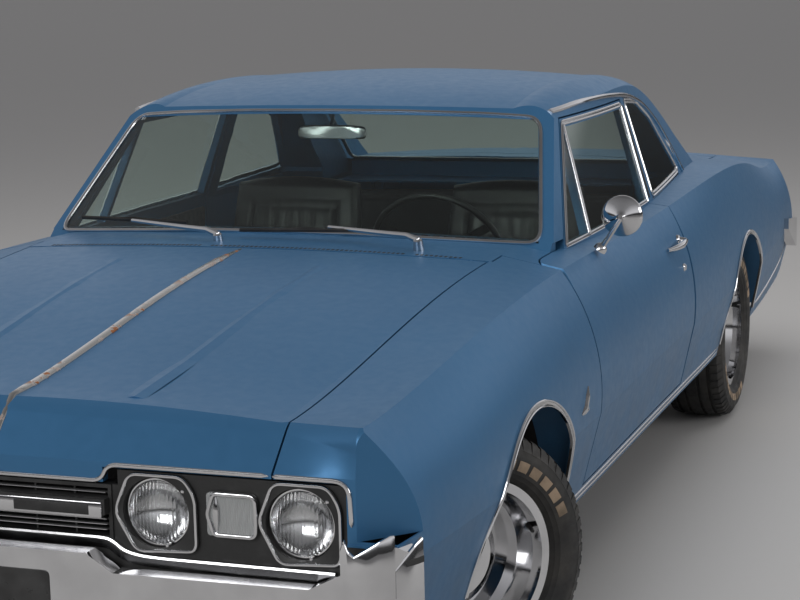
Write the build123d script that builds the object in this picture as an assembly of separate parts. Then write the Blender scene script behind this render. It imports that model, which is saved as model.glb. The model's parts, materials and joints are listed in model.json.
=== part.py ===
from build123d import *
import os
from math import cos, radians, sin

# A two-door coupe of the mid 1960s. Units are millimetres. The front faces -Y and the left side is +X.
# Stations are measured back from the front axle and are called s. The export moves them to the centre.

# Whole car
LENGTH = 5187
FRONT_OVERHANG = 897
WHEELBASE = 2921
GAP = 5
SKIN = 5
ENGINE_LENGTH, ENGINE_WIDTH, ENGINE_HEIGHT = 700, 520, 500

# Wheels
TYRE_RADIUS = 326
TYRE_WIDTH = 235
FRONT_WHEEL_X = 774
REAR_WHEEL_X = 787
KINGPIN_X = 688
REST_STEER = 34
DRUM_RADIUS = 132

# Hubs and steering
ARM_IN, ARM_BACK = 75, 130
BALL_PLAY = 0.3
LOWER_ARM_Z, UPPER_ARM_Z = (178, 202), (430, 446)
TIE_LENGTH = 330
RELAY_S = ARM_BACK
TIE_Z = 232
WHEEL_CENTRE = (370, 1020, 885)
COLUMN_TILT = 24
STEER_RADIUS = 196

# Doors
DOOR_FRONT = 603.5
DOOR_REAR = 1880
DOOR_BOTTOM = 346
DOOR_INNER_X = 775
DOOR_HINGE_BACK = 80
DOOR_HINGE_X = 925
FENDER_GAP = 7
FRAME_BAR = 24
FRAME_REAR = 1862
FRAME_TOP = 1264
FRAME_REAR_GAP = 11
DOOR_CREST_X = 862
DOOR_REAR_SLANT = 0.21
DOOR_HINGE_S = DOOR_FRONT + DOOR_HINGE_BACK
DOOR_HINGE_HEIGHTS = (537, 672)
DOOR_PIN_RADIUS = 5
PIN_PLAY = 0.2
GLASS = 6
SAIL_INNER_X = 588

# Hood and trunk lid
HOOD_THICK = 22
HOOD_FRONT_X = 636
HOOD_REAR_X = 676
HOOD_REAR_SIDE = 498
HOOD_REAR_CENTRE = 465
HOOD_REAR_GAP = 12
HOOD_LIP_Z = 722
HOOD_DIP_Z = 690
HOOD_HINGE_S, HOOD_HINGE_Z, HOOD_HINGE_X = 497, 952, 600
HOOD_PIN_RADIUS, HOOD_PIN_PLAY = 2, 0.6
LID_HALF_WIDTH = 570
LID_FRONT = 2900
LID_REAR = 4176
LID_PIVOT_AHEAD = 100
LID_PIVOT_S = LID_FRONT - LID_PIVOT_AHEAD
LID_PIVOT_Z = 904
LID_PIN_RADIUS = 6
GOOSE_X = 500

# Body ends and floor
BODY_FRONT = -848
BODY_REAR = 4240
FLOOR_TOP = 312
FLOOR_THICK = 8
ARCH_RADIUS = 362
WHEELHOUSE_RADIUS = 402
ROCKER_TOP = DOOR_BOTTOM - GAP
TUNNEL_HALF = 140
TAIL_FACE = 4200
PANEL_THICK = 10

# Lamps, grille and bumpers. Lamp bezel columns: centre x, half width, half height.
LAMP_Z = 630
LAMP_RADIUS = 73
LAMP_BEZELS = [(378, 95, 85), (697, 92, 87)]
BEZEL_FRONT = -846
BEZEL_RIM, BEZEL_FLOOR, BEZEL_CORNER = 5, 3, 20
PANEL_FRONT = -838
TURN_X, TURN_HALF_WIDTH, TURN_HALF_HEIGHT = 549, 54, 45
GRILLE_HALF_WIDTH = 278
GRILLE_BOTTOM, GRILLE_TOP = 566, 684
SLATS = 9
GRILLE_UPRIGHTS = (-186, -93, 0, 93, 186)
BUMPER_DEPTH = 42
PLATE_SPACING, PLATE_HOLE = 177.8, 3.5
FRONT_PLATE_Z, REAR_PLATE_Z = 462, 515

# Frame rails. Columns: x, station, height of the middle of each bend.
RAIL_PATH = [
    (418, -700, 336),
    (418, 300, 336),
    (700, 520, 250),
    (700, 2200, 250),
    (520, 2480, 415),
    (520, 2800, 452),
    (520, 3050, 452),
    (520, 3330, 385),
    (520, 4100, 375),
]
RAIL_HEIGHT, RAIL_WIDTH = 78, 60
# Exhaust pipe of the left side. Columns: x, station, height.
PIPE_ROUTE = [(200, 446, 240), (330, 1100, 240), (420, 3080, 240), (590, 3480, 296), (620, 4180, 330)]
PIPE_RADIUS, PIPE_BEND = 25, 120
JACK_STATIONS = (800, 2100)
JACK_X, JACK_Z = 700, 205

# Wheel sections. Columns: place along the axle from the middle of the rim, radius.
RIM_PROFILE = [(-98, 190), (-98, 208), (-92, 208), (-84, 194), (-60, 190), (-20, 172), (30, 172), (70, 190),
               (86, 194), (92, 208), (98, 208), (98, 186), (66, 184), (28, 166), (-18, 166), (-60, 184), (-98, 184)]
TYRE_FLAT = 95

# Body sections. Columns: station, bottom x, bottom z, crease x, crease z, side x, side z,
# crest x, crest z, deck edge x, deck edge z, centre z.
BODY_SECTIONS = [
    (-900, 848, 340, 903, 560, 884, 700, 832, 838, 630, 820, 836),
    (-300, 878, 310, 948, 554, 930, 725, 838, 868, 645, 868, 890),
    (560, 892, 300, 955, 542, 938, 745, 850, 921, 683, 954, 978),
    (1900, 892, 300, 945, 540, 929, 765, 862, 926, 720, 950, 975),
    (2650, 892, 300, 947, 540, 933, 765, 882, 950, 740, 962, 985),
    (3300, 885, 305, 940, 545, 926, 745, 868, 912, 700, 930, 962),
    (4260, 850, 330, 905, 545, 888, 690, 822, 832, 640, 842, 866),
]
# Roof sections. Columns: station, centre z, shoulder z, side z.
ROOF_SECTIONS = [
    (500, 1190, 1160, 1120),
    (1000, 1288, 1262, 1220),
    (1200, 1328, 1306, 1258),
    (1650, 1368, 1346, 1288),
    (2250, 1330, 1306, 1250),
    (2660, 1180, 1160, 1115),
    (3080, 935, 922, 890),
]
# Nose of the hood and fenders, from the centre outwards. Columns: x, then station and height of the
# rounded knee at its start, its middle and its end.
NOSE_PROFILES = [
    (0, -780, 812, -752, 834, -708, 847),
    (640, -776, 800, -750, 819, -708, 832),
    (822, -843, 785, -835, 820, -800, 840),
    (1100, -843, 785, -835, 820, -800, 840),
]
NOSE_FACE, NOSE_LIP_Z = -846, 733
# The facet at the fender's front corner, in plan: where it leaves the front face and the side
FACET_FRONT, FACET_SIDE = (818, -848), (857, -806)
FACET_BOTTOM = 606
# Hood creases. Columns: x, station.
CREASE = [(266, -700), (272, -450), (278, -200), (284, 50), (290, 300)]
CREASE_HALF_WIDTH, CREASE_RISE = 26, 3
# Plan sections of the glasshouse. Columns: z, corner x, corner s, screen centre s, side x, side s, end x, end s.
PLAN_SECTIONS = [
    (900, 791, 738, 585, 814, 1600, 742, 3075),
    (1400, 643, 1303, 1210, 658, 1788, 583, 2481),
]


def across(points, x0, x1):
    """A side view outline of (s, z) points, carried across the car from x0 to x1."""
    face = make_face(Polyline(*points, close=True))
    return extrude(Plane.YZ.offset(x0) * face, x1 - x0)


def along(points, s0, s1):
    """A front view outline of (x, z) points, carried along the car from s0 to s1."""
    face = make_face(Polyline(*points, close=True))
    return extrude(Plane(origin=(0, s0, 0), x_dir=(1, 0, 0), z_dir=(0, -1, 0)) * face, s0 - s1)


def upright(points, z0, z1):
    """A plan view outline of (x, s) points, raised from z0 to z1."""
    return extrude(Plane.XY.offset(z0) * make_face(Polyline(*points, close=True)), z1 - z0)


def block(x0, x1, s0, s1, z0, z1):
    return Pos((x0 + x1) / 2, (s0 + s1) / 2, (z0 + z1) / 2) * Box(x1 - x0, s1 - s0, z1 - z0)


def rod(radius, start, end):
    """A round bar between two points."""
    start, end = Vector(*start), Vector(*end)
    run = end - start
    return extrude(Plane(origin=start, z_dir=run) * Circle(radius), run.length)


def bar_between(start, end, width, height):
    """A rectangular bar between two points, its height upright."""
    start, end = Vector(*start), Vector(*end)
    run = end - start
    side = run.cross(Vector(0, 0, 1))
    return extrude(Plane(origin=start, x_dir=side, z_dir=run) * Rectangle(width, height), run.length)


def other_side(shape):
    return mirror(shape, about=Plane.YZ)


def both_sides(shape):
    return Compound([shape, other_side(shape)])


def body_loft(inset):
    """The lower body, made smaller all round by the inset."""
    faces = []
    for s, xb, zb, xc, zc, xs, zs, xe, ze, xi, zi, zm in BODY_SECTIONS:
        foot = (xb - inset, zb + inset)
        crease = (xc - inset, zc)
        side = (xs - inset, zs)
        crest = (xe - inset, ze - inset)
        edge = (xi - inset, zi - inset)
        top = (0, zm - inset)
        flip = [(-x, z) for x, z in (foot, crease, side, crest, edge)]
        outline = [
            Line(flip[0], foot),
            Line(foot, crease),
            ThreePointArc(crease, side, crest),
            Line(crest, edge),
            ThreePointArc(edge, top, flip[4]),
            Line(flip[4], flip[3]),
            ThreePointArc(flip[3], flip[2], flip[1]),
            Line(flip[1], flip[0]),
        ]
        faces.append(Plane(origin=(0, s, 0), x_dir=(1, 0, 0), z_dir=(0, -1, 0)) * make_face(outline))
    return loft(faces)


def roof_loft(drop):
    """The roof's crown and shoulders, lowered by the drop."""
    faces = []
    for s, zc, ze, zd in ROOF_SECTIONS:
        side, shoulder = (700, zd - drop), (560, ze - drop)
        middle = (655, (zd + ze) / 2 + 12 - drop)
        outline = [
            Line((-900, 800), (900, 800)),
            Line((900, 800), (900, side[1] - 60)),
            Line((900, side[1] - 60), side),
            ThreePointArc(side, middle, shoulder),
            ThreePointArc(shoulder, (0, zc - drop), (-shoulder[0], shoulder[1])),
            ThreePointArc((-shoulder[0], shoulder[1]), (-middle[0], middle[1]), (-side[0], side[1])),
            Line((-side[0], side[1]), (-900, side[1] - 60)),
            Line((-900, side[1] - 60), (-900, 800)),
        ]
        faces.append(Plane(origin=(0, s, 0), x_dir=(1, 0, 0), z_dir=(0, -1, 0)) * make_face(outline))
    return loft(faces)


def plan_loft(inset):
    """The screen and side glass surfaces, brought inwards by the inset."""
    faces = []
    for z, xa, sa, sc, xm, sm, xr, sr in PLAN_SECTIONS:
        front, side, rear = (xa - inset, sa + inset), (xm - inset, sm), (xr - inset, sr)
        outline = [
            ThreePointArc((-front[0], front[1]), (0, sc + inset), front),
            ThreePointArc(front, side, rear),
            Line(rear, (-rear[0], rear[1])),
            ThreePointArc((-rear[0], rear[1]), (-side[0], side[1]), (-front[0], front[1])),
        ]
        faces.append(Plane.XY.offset(z) * make_face(outline))
    return loft(faces)


def glasshouse(inset, drop):
    return plan_loft(inset) & roof_loft(drop)


def arch(s, radius, x0, x1):
    """A round wheel opening about an axle, open below."""
    low = block(x0, x1, s - radius, s + radius, 0, TYRE_RADIUS)
    return rod(radius, (x0, s, TYRE_RADIUS), (x1, s, TYRE_RADIUS)) + low


def wheelhouse(s, radius, x0, reach):
    """A thin half round housing over a tyre, with its inner wall where it has one."""
    shell = rod(radius + SKIN, (x0, s, TYRE_RADIUS), (1000, s, TYRE_RADIUS))
    shell = shell - rod(radius, (x0 + reach, s, TYRE_RADIUS), (1001, s, TYRE_RADIUS))
    return shell & outer & block(0, 1000, s - 450, s + 450, TYRE_RADIUS + 40, 1000)


# Side view outlines, as points of station and height
DOOR_EDGE = [(DOOR_FRONT, DOOR_BOTTOM), (DOOR_FRONT, 870), (DOOR_FRONT + 34, 1000),
             (DOOR_REAR, 1000), (DOOR_REAR, DOOR_BOTTOM)]
FRAME_EDGE = [(852, 915), (1196, FRAME_TOP), (1897, FRAME_TOP), (FRAME_REAR, 915)]
FRAME_HOLE = [(908, 938), (1206, FRAME_TOP - FRAME_BAR), (1897 - FRAME_BAR, FRAME_TOP - FRAME_BAR),
              (FRAME_REAR + 2 - FRAME_BAR, 938)]
FRAME_ROOM = [(836, 850), (836, 905), (1192, FRAME_TOP + GAP), (1897 + FRAME_REAR_GAP, FRAME_TOP + GAP),
              (FRAME_REAR + FRAME_REAR_GAP, 905), (FRAME_REAR + FRAME_REAR_GAP, 850)]
VENT_BAR = [(1108, 932), (1130, 932), (1216, 1246), (1198, 1246)]
QUARTER_HOLE = [(1948, 938), (1962, 1250), (2130, 1236), (2290, 1170), (2506, 960), (2490, 938)]
QUARTER_SIDE = [(1868, 700), (1868, 905), (1908, FRAME_TOP + GAP), (2200, 1262), (2300, 1190),
                (2360, 1400), (3200, 1400), (3200, 700)]
SAIL_SIDE = [(2530, 900), (2310, 1185), (2360, 1400), (3200, 1400), (3200, 900)]
TUNNEL = [(2400, 1293), (2780, 958), (3200, 958), (3200, 1400), (2400, 1400)]



def nose_cut():
    """What lies ahead of and above the rounded nose, on the left half of the car."""
    faces = []
    for x, s0, z0, s1, z1, s2, z2 in NOSE_PROFILES:
        outline = [
            Line((-960, 600), (NOSE_FACE, 600)),
            Line((NOSE_FACE, 600), (NOSE_FACE, NOSE_LIP_Z)),
            Line((NOSE_FACE, NOSE_LIP_Z), (s0, z0)),
            ThreePointArc((s0, z0), (s1, z1), (s2, z2)),
            Line((s2, z2), (s2 + 150, z2 + 27)),
            Line((s2 + 150, z2 + 27), (s2 + 150, 920)),
            Line((s2 + 150, 920), (-960, 920)),
            Line((-960, 920), (-960, 600)),
        ]
        faces.append(Plane.YZ.offset(x) * make_face(outline))
    return loft(faces, ruled=True)


def facet_cut():
    """What lies outside the facet at the fender's front corner."""
    (x0, s0), (x1, s1) = FACET_FRONT, FACET_SIDE
    dx, ds = x1 - x0, s1 - s0
    return upright([(x0 - dx / 2, s0 - ds / 2), (x1 + dx * 2, s0 - ds / 2), (x1 + dx * 2, s1 + ds * 2)], FACET_BOTTOM, 1100)


outer = body_loft(0)
inner = body_loft(SKIN)
lid_inner = body_loft(HOOD_THICK)
skin = outer - inner
lid_skin = outer - lid_inner
house = glasshouse(0, 0)
house_wall = house - glasshouse(30, 28)
glass_wall = house - glasshouse(GLASS, GLASS)
front_arch = arch(0, ARCH_RADIUS, 600, 1100)
rear_arch = arch(WHEELBASE, ARCH_RADIUS, 640 + SKIN, 1100)
tunnel_cut = across(TUNNEL, -SAIL_INNER_X, SAIL_INNER_X)
nose = nose_cut()
facet = facet_cut()


def bevelled(s, x0=600, x1=1100):
    """A plan view slice of everything ahead of a face that leans forward towards the cabin."""
    outside, inside = (s + (x - DOOR_CREST_X) * DOOR_REAR_SLANT for x in (x1, x0))
    return upright([(x1, outside), (x0, inside), (x0, 0), (x1, 0)], 200, 1100)


def hood_outline(grow):
    """The hood in plan, as (x, s) points, grown by a margin at its sides and rear."""
    side = HOOD_FRONT_X + grow
    rear = HOOD_REAR_X + grow
    back = HOOD_REAR_SIDE + (HOOD_REAR_GAP if grow else 0)
    centre = HOOD_REAR_CENTRE + (HOOD_REAR_GAP if grow else 0)
    return make_face([
        Line((-side, -1000), (side, -1000)),
        Line((side, -1000), (rear, back)),
        ThreePointArc((rear, back), (0, centre), (-rear, back)),
        Line((-rear, back), (-side, -1000)),
    ])


def make_crease():
    """The low ridge that runs along one side of the hood."""
    faces = []
    for x, s in CREASE:
        z = max(point.Z for point, _ in outer.find_intersection_points(Axis((x, s, 0), (0, 0, 1))))
        faces.append(Plane(origin=(x, s, z), x_dir=(1, 0, 0), z_dir=(0, -1, 0)) * make_face(Polyline(
            (-CREASE_HALF_WIDTH, -1), (0, CREASE_RISE), (CREASE_HALF_WIDTH, -1), close=True)))
    return loft(faces, ruled=True)


def make_hood():
    ahead = nose + other_side(nose)
    under = lid_inner - Pos(0, HOOD_THICK, -HOOD_THICK) * ahead
    panel = outer - ahead - under
    panel = panel & extrude(Plane.XY.offset(HOOD_DIP_Z) * hood_outline(0), 500)
    crease = make_crease()
    panel = panel + crease + other_side(crease)
    for side in (-1, 1):
        panel = panel - block(side * 500 - 238, side * 500 + 238, -900, 0, 600, HOOD_LIP_Z)
        x = side * HOOD_HINGE_X
        eye = rod(2.2 * HOOD_PIN_RADIUS, (x - 25, HOOD_HINGE_S, HOOD_HINGE_Z), (x + 25, HOOD_HINGE_S, HOOD_HINGE_Z))
        neck = block(x - 25, x + 25, HOOD_HINGE_S - 14, HOOD_HINGE_S, HOOD_HINGE_Z - 4, HOOD_HINGE_Z)
        hole = rod(HOOD_PIN_RADIUS + HOOD_PIN_PLAY, (x - 40, HOOD_HINGE_S, HOOD_HINGE_Z),
                   (x + 40, HOOD_HINGE_S, HOOD_HINGE_Z))
        panel = panel + (eye + neck - hole)
    return panel


def make_fender():
    under = inner - Pos(0, SKIN, -SKIN) * nose - Pos(-SKIN, SKIN, 0) * facet
    panel = outer - nose - facet - under
    panel = panel - extrude(Plane.XY.offset(600) * hood_outline(GAP), 600)
    panel = panel & block(HOOD_FRONT_X + GAP, 1100, BODY_FRONT, DOOR_FRONT - FENDER_GAP, 200, 1100)
    panel = panel - block(0, 800, -900, 700, 200, HOOD_LIP_Z)
    back = HOOD_REAR_SIDE + HOOD_REAR_GAP + 2
    panel = panel - upright([(0, 490), (HOOD_REAR_X, 490), (HOOD_REAR_X, back), (690, back), (690, 700), (0, 700)],
                            880, 1100)
    panel = panel - front_arch - block(0, 1100, 480, 700, 200, ROCKER_TOP)
    return panel + wheelhouse(0, WHEELHOUSE_RADIUS, 520, -1)


def make_rocker():
    sill = skin & block(780, 1100, 480 + GAP, 2430, 200, ROCKER_TOP)
    box = block(780, 884, 480 + GAP, 2430, 302, ROCKER_TOP)
    return sill + box


SCREEN_HOLE = extrude(
    Plane(origin=(0, 300, 0), x_dir=(1, 0, 0), z_dir=(0, -1, 0)) * make_face([
        ThreePointArc((-735, 960), (0, 992), (735, 960)),
        Line((735, 960), (640, 1266)),
        ThreePointArc((640, 1266), (0, 1286), (-640, 1266)),
        Line((-640, 1266), (-735, 960)),
    ]), -1000)


def door_swing(grow):
    """The upright cylinder that the inner front corner of an opening door stays within."""
    radius = DOOR_HINGE_X - DOOR_INNER_X + grow
    return rod(radius, (DOOR_HINGE_X, DOOR_HINGE_S, 850), (DOOR_HINGE_X, DOOR_HINGE_S, 1000))


def make_cowl():
    back = HOOD_REAR_SIDE + HOOD_REAR_GAP + 2
    right = [(HOOD_REAR_X, 400), (HOOD_REAR_X, back), (685, back), (685, 601), (800, 601), (800, DOOR_HINGE_S),
             (DOOR_INNER_X - GAP, DOOR_HINGE_S), (DOOR_INNER_X - GAP, 790)]
    top = skin & upright([(-x, s) for x, s in reversed(right)] + right, 880, 1100)
    top = top - extrude(Plane.XY.offset(600) * hood_outline(GAP), 600) - both_sides(door_swing(GAP))
    frame = house_wall & (block(-770, 770, 500, 836, 925, 960) + block(-735, 735, 500, 790, 925, 995))
    firewall = block(-772, 772, 522, 530, FLOOR_TOP - FLOOR_THICK, 1000) & inner
    firewall = firewall - block(-TUNNEL_HALF + 8, TUNNEL_HALF - 8, 500, 540, 300, 512)
    cowl = top + (frame - SCREEN_HOLE) + firewall
    for side in (-1, 1):
        pillar = block(side * 840 - 45, side * 840 + 45, 500, 590, ROCKER_TOP, 890) & inner
        web = block(side * 784 - 14, side * 784 + 14, 522, 590, ROCKER_TOP, 890)
        cowl = cowl + pillar + web
        for z in DOOR_HINGE_HEIGHTS:
            cowl = cowl + fixed_leaf(side, z)
        x = side * HOOD_HINGE_X
        cowl = cowl - block(x - 28, x + 28, HOOD_HINGE_S - 10, HOOD_HINGE_S + 9, HOOD_HINGE_Z - 10, HOOD_HINGE_Z + 20)
        pin = rod(HOOD_PIN_RADIUS, (x - 36, HOOD_HINGE_S, HOOD_HINGE_Z), (x + 36, HOOD_HINGE_S, HOOD_HINGE_Z))
        for end in (-33, 33):
            pin = pin + block(x + end - 3, x + end + 3, HOOD_HINGE_S - 2, HOOD_HINGE_S + 12,
                              HOOD_HINGE_Z - 4, HOOD_HINGE_Z + 2)
        cowl = cowl + pin
    return cowl


def fixed_leaf(side, z):
    """The pillar's half of a door hinge: a bent leaf with an upright pin at its end."""
    x, s = DOOR_HINGE_X, DOOR_HINGE_S
    bend = (x - 75, s - 40, z - 14)
    leaf = bar_between((x, s, z - 14), bend, 8, 24)
    leaf = leaf + bar_between((bend[0], bend[1] + 4, bend[2]), (x - 85, s - 95, z - 14), 8, 24)
    leaf = leaf + rod(9, (x, s, z - 26), (x, s, z - 2)) + rod(DOOR_PIN_RADIUS, (x, s, z - 26), (x, s, z + 28))
    return leaf if side > 0 else other_side(leaf)


def make_door():
    panel = (outer & across(DOOR_EDGE, DOOR_INNER_X, 1100)) & bevelled(DOOR_REAR)
    panel = panel - (block(DOOR_INNER_X - 1, DOOR_HINGE_X, 500, DOOR_HINGE_S, 880, 1000) - door_swing(0))
    frame = (house_wall & across(FRAME_EDGE, 500, 900)) - across(FRAME_HOLE, 500, 900)
    frame = frame + (house_wall & across(VENT_BAR, 500, 900))
    door = panel + frame
    for z in DOOR_HINGE_HEIGHTS:
        door = door - block(700, DOOR_HINGE_X + 12, 600, DOOR_HINGE_S + 24, z - 34, z + 38)
        eye = rod(9, (DOOR_HINGE_X, DOOR_HINGE_S, z + 1), (DOOR_HINGE_X, DOOR_HINGE_S, z + 26))
        eye = eye + block(DOOR_HINGE_X - 9, DOOR_HINGE_X + 9, DOOR_HINGE_S, DOOR_HINGE_S + 26, z + 1, z + 26)
        hole = rod(DOOR_PIN_RADIUS + PIN_PLAY, (DOOR_HINGE_X, DOOR_HINGE_S, z - 30), (DOOR_HINGE_X, DOOR_HINGE_S, z + 34))
        door = door + (eye - hole)
    return door


def make_door_glass():
    pane = (glass_wall & across(FRAME_HOLE, 500, 900)) - across(VENT_BAR, 500, 900)
    return pane


def make_roof():
    roof = house_wall & block(-900, 900, 500, 2700, 960, 1500)
    for side in (0, -900):
        roof = roof - across(FRAME_ROOM, side, side + 900) - across(QUARTER_SIDE, side, side + 900)
    return roof - SCREEN_HOLE - tunnel_cut - block(-735, 735, 500, 790, 900, 995)


def make_quarter():
    panel = skin & block(0, 1100, DOOR_REAR - 80, BODY_REAR, 200, 1100)
    panel = panel - upright([(0, 1800), (774, 1800), (774, 2300), (742, 2700), (620, 2766), (0, 2766)], 850, 1100)
    panel = panel - block(0, LID_HALF_WIDTH + GAP, 2700, BODY_REAR + 1, 700, 1100)
    panel = panel - block(0, 855, 1500, BODY_REAR + 1, 200, 345) - block(0, 1100, 1700, 2430 + GAP, 200, ROCKER_TOP)
    wall = (outer & block(DOOR_INNER_X, 1100, DOOR_REAR - 80, 2440, DOOR_BOTTOM - GAP, 1000))
    panel = panel + wall - bevelled(DOOR_REAR + GAP)
    panel = panel - rear_arch + wheelhouse(WHEELBASE, ARCH_RADIUS, 640, SKIN)
    upper = house_wall & across(QUARTER_SIDE, 500, 900)
    sail = house & across(SAIL_SIDE, SAIL_INNER_X, 900)
    upper = (upper + sail - across(QUARTER_HOLE, 500, 900) - across(FRAME_ROOM, 500, 900) - tunnel_cut)
    upper = upper & block(SAIL_INNER_X, 900, 1800, 3200, 915, 1500)
    return panel + upper


def make_deck():
    """The panel between the rear window and the trunk lid, with the shelf and the lid's hinge brackets."""
    top = (outer - body_loft(8)) & block(-LID_HALF_WIDTH - 3, LID_HALF_WIDTH + 3, 2768, LID_FRONT - GAP, 880, 1100)
    shelf = block(-572, 572, 2600, 2778, 896, 904)
    riser = block(-572, 572, 2770, 2778, 896, 960)
    deck = top + shelf + riser
    for side in (-1, 1):
        x = side * (GOOSE_X + 16)
        pin = rod(LID_PIN_RADIUS, (x - 30 * side, LID_PIVOT_S, LID_PIVOT_Z), (x, LID_PIVOT_S, LID_PIVOT_Z))
        plate = block(x - 3, x + 3, LID_PIVOT_S - 14, LID_PIVOT_S + 14, LID_PIVOT_Z - 14, 1000) & inner
        deck = deck + pin + plate
    return deck


def make_lid():
    panel = lid_skin & block(-LID_HALF_WIDTH, LID_HALF_WIDTH, LID_FRONT, LID_REAR, 700, 1100)
    panel = panel - across([(LID_FRONT, 990), (LID_FRONT + 25, 935), (LID_FRONT - 5, 935), (LID_FRONT - 5, 990)],
                           -700, 700)
    s, z = LID_PIVOT_S, LID_PIVOT_Z
    for side in (-1, 1):
        x0, x1 = side * GOOSE_X - 6, side * GOOSE_X + 6
        ring = rod(134, (x0, s, z), (x1, s, z)) - rod(120, (x0 - 1, s, z), (x1 + 1, s, z))
        low = (s + 140 * cos(radians(-80)), z + 140 * sin(radians(-80)))
        ring = ring & across([(s, z), low, (s + 140, z - 138), (s + 140, z + 18)], x0, x1)
        strut = bar_between((side * GOOSE_X, s, z), (side * GOOSE_X, s + 127 * cos(radians(-78)),
                                                     z + 127 * sin(radians(-78))), 12, 14)
        riser = block(x0, x1, s + 119, s + 134, z - 6, z + 46)
        eye = rod(14, (x0, s, z), (x1, s, z))
        hole = rod(LID_PIN_RADIUS + PIN_PLAY, (x0 - 5, s, z), (x1 + 5, s, z))
        panel = panel + (ring + strut + riser + eye - hole)
    return panel


def rounded_box(x, half_width, half_height, z, front, depth, corner):
    plane = Plane(origin=(x, front, z), x_dir=(1, 0, 0), z_dir=(0, -1, 0))
    return extrude(plane * RectangleRounded(2 * half_width, 2 * half_height, corner), -depth)


def each_lamp():
    """Yields the centre x, half width and half height of every headlamp bezel on both sides."""
    for x, half_width, half_height in LAMP_BEZELS:
        for side in (-1, 1):
            yield side * x, half_width, half_height


def make_front_panel():
    """The painted plate behind the bumper that carries the lamps and the grille."""
    top = HOOD_LIP_Z - GAP - 1
    right = [(846, 345), (868, 560), (864, FACET_BOTTOM - 4), (814, FACET_BOTTOM - 4), (800, top), (292, top),
             (292, GRILLE_TOP)]
    outline = right + [(-x, z) for x, z in reversed(right)]
    panel = along(outline, PANEL_FRONT, PANEL_FRONT + PANEL_THICK) & inner
    panel = panel - block(-GRILLE_HALF_WIDTH, GRILLE_HALF_WIDTH, -900, -700, GRILLE_BOTTOM, GRILLE_TOP)
    for x, half_width, half_height in each_lamp():
        panel = panel - rod(LAMP_RADIUS + 4, (x, -900, LAMP_Z), (x, -700, LAMP_Z))
    for side in (-1, 1):
        panel = panel - block(side * TURN_X - 50, side * TURN_X + 50, -900, -700, LAMP_Z - 35, LAMP_Z + 35)
        brace = block(side * 418 - 34, side * 418 + 34, PANEL_FRONT + PANEL_THICK, -700, 300, 372)
        stay = block(side * 790 - 6, side * 790 + 6, PANEL_FRONT + PANEL_THICK, -700, 640, 712)
        panel = panel + brace + stay
    return panel + block(-790, 790, -790, -700, 704, 712)


def bezel_outline(side, half_width, half_height, inset):
    """A six sided frame with round corners, pointed at the side that faces the grille."""
    w, h = half_width - inset, half_height - inset
    points = [(-w, 0), (-w * 0.62, h), (w * 0.72, h), (w, h * 0.5), (w, -h * 0.9), (-w * 0.5, -h)]
    sketch = make_face(Polyline(*[(side * x, z) for x, z in points], close=True))
    return fillet(sketch.vertices(), BEZEL_CORNER)


def make_bezels():
    """Each headlamp's frame: a raised rim around a shallow recess with the lamp's hole in its floor."""
    pieces = []
    depth = PANEL_FRONT - BEZEL_FRONT
    for x, half_width, half_height in each_lamp():
        side = 1 if x > 0 else -1
        front = Plane(origin=(x, BEZEL_FRONT, LAMP_Z), x_dir=(1, 0, 0), z_dir=(0, -1, 0))
        bezel = extrude(front * bezel_outline(side, half_width, half_height, 0), -depth)
        recess = extrude(front * bezel_outline(side, half_width, half_height, BEZEL_RIM), BEZEL_FLOOR - depth)
        pieces.append(bezel - recess - rod(LAMP_RADIUS + 1, (x, -900, LAMP_Z), (x, -700, LAMP_Z)))
    return Compound(pieces)


def make_headlamps():
    pieces = []
    for x, half_width, half_height in each_lamp():
        lens = Pos(x, PANEL_FRONT + 118, LAMP_Z) * Sphere(140)
        lamp = rod(LAMP_RADIUS, (x, -900, LAMP_Z), (x, PANEL_FRONT + 40, LAMP_Z)) & lens
        rear = rod(LAMP_RADIUS + 14, (x, PANEL_FRONT + PANEL_THICK, LAMP_Z), (x, PANEL_FRONT + 40, LAMP_Z))
        pieces.append(lamp + rear)
    return Compound(pieces)


def make_turn_lamps():
    pieces = []
    for side in (-1, 1):
        x = side * TURN_X
        lamp = rounded_box(x, TURN_HALF_WIDTH, TURN_HALF_HEIGHT, LAMP_Z + 10, PANEL_FRONT - 8, 8, 8)
        body = block(x - 49, x + 49, PANEL_FRONT, PANEL_FRONT + 50, LAMP_Z - 34, LAMP_Z + 34)
        pieces.append(lamp + body)
    return Compound(pieces)


def make_grille():
    w, low, high = GRILLE_HALF_WIDTH, GRILLE_BOTTOM, GRILLE_TOP
    frame = block(-w, w, PANEL_FRONT - 4, PANEL_FRONT + 34, low, high)
    frame = frame - block(-w + 8, w - 8, -900, -780, low + 8, high - 8)
    pitch = (high - low - 16) / SLATS
    for i in range(1, SLATS):
        z = low + 8 + i * pitch
        frame = frame + block(-w + 4, w - 4, PANEL_FRONT + 6, PANEL_FRONT + 26, z - 2, z + 2)
    for x in GRILLE_UPRIGHTS:
        frame = frame + block(x - 2, x + 2, PANEL_FRONT + 8, PANEL_FRONT + 28, low + 4, high - 4)
    bar = block(-w + 6, w - 6, PANEL_FRONT - 26, PANEL_FRONT + 8, 624, 657)
    return frame + bar


def plate_holes(start, z):
    """The two holes for a number plate, along the car from a station."""
    half = PLATE_SPACING / 2
    return rod(PLATE_HOLE, (-half, start, z), (-half, start + 200, z)) + rod(
        PLATE_HOLE, (half, start, z), (half, start + 200, z))


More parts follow.
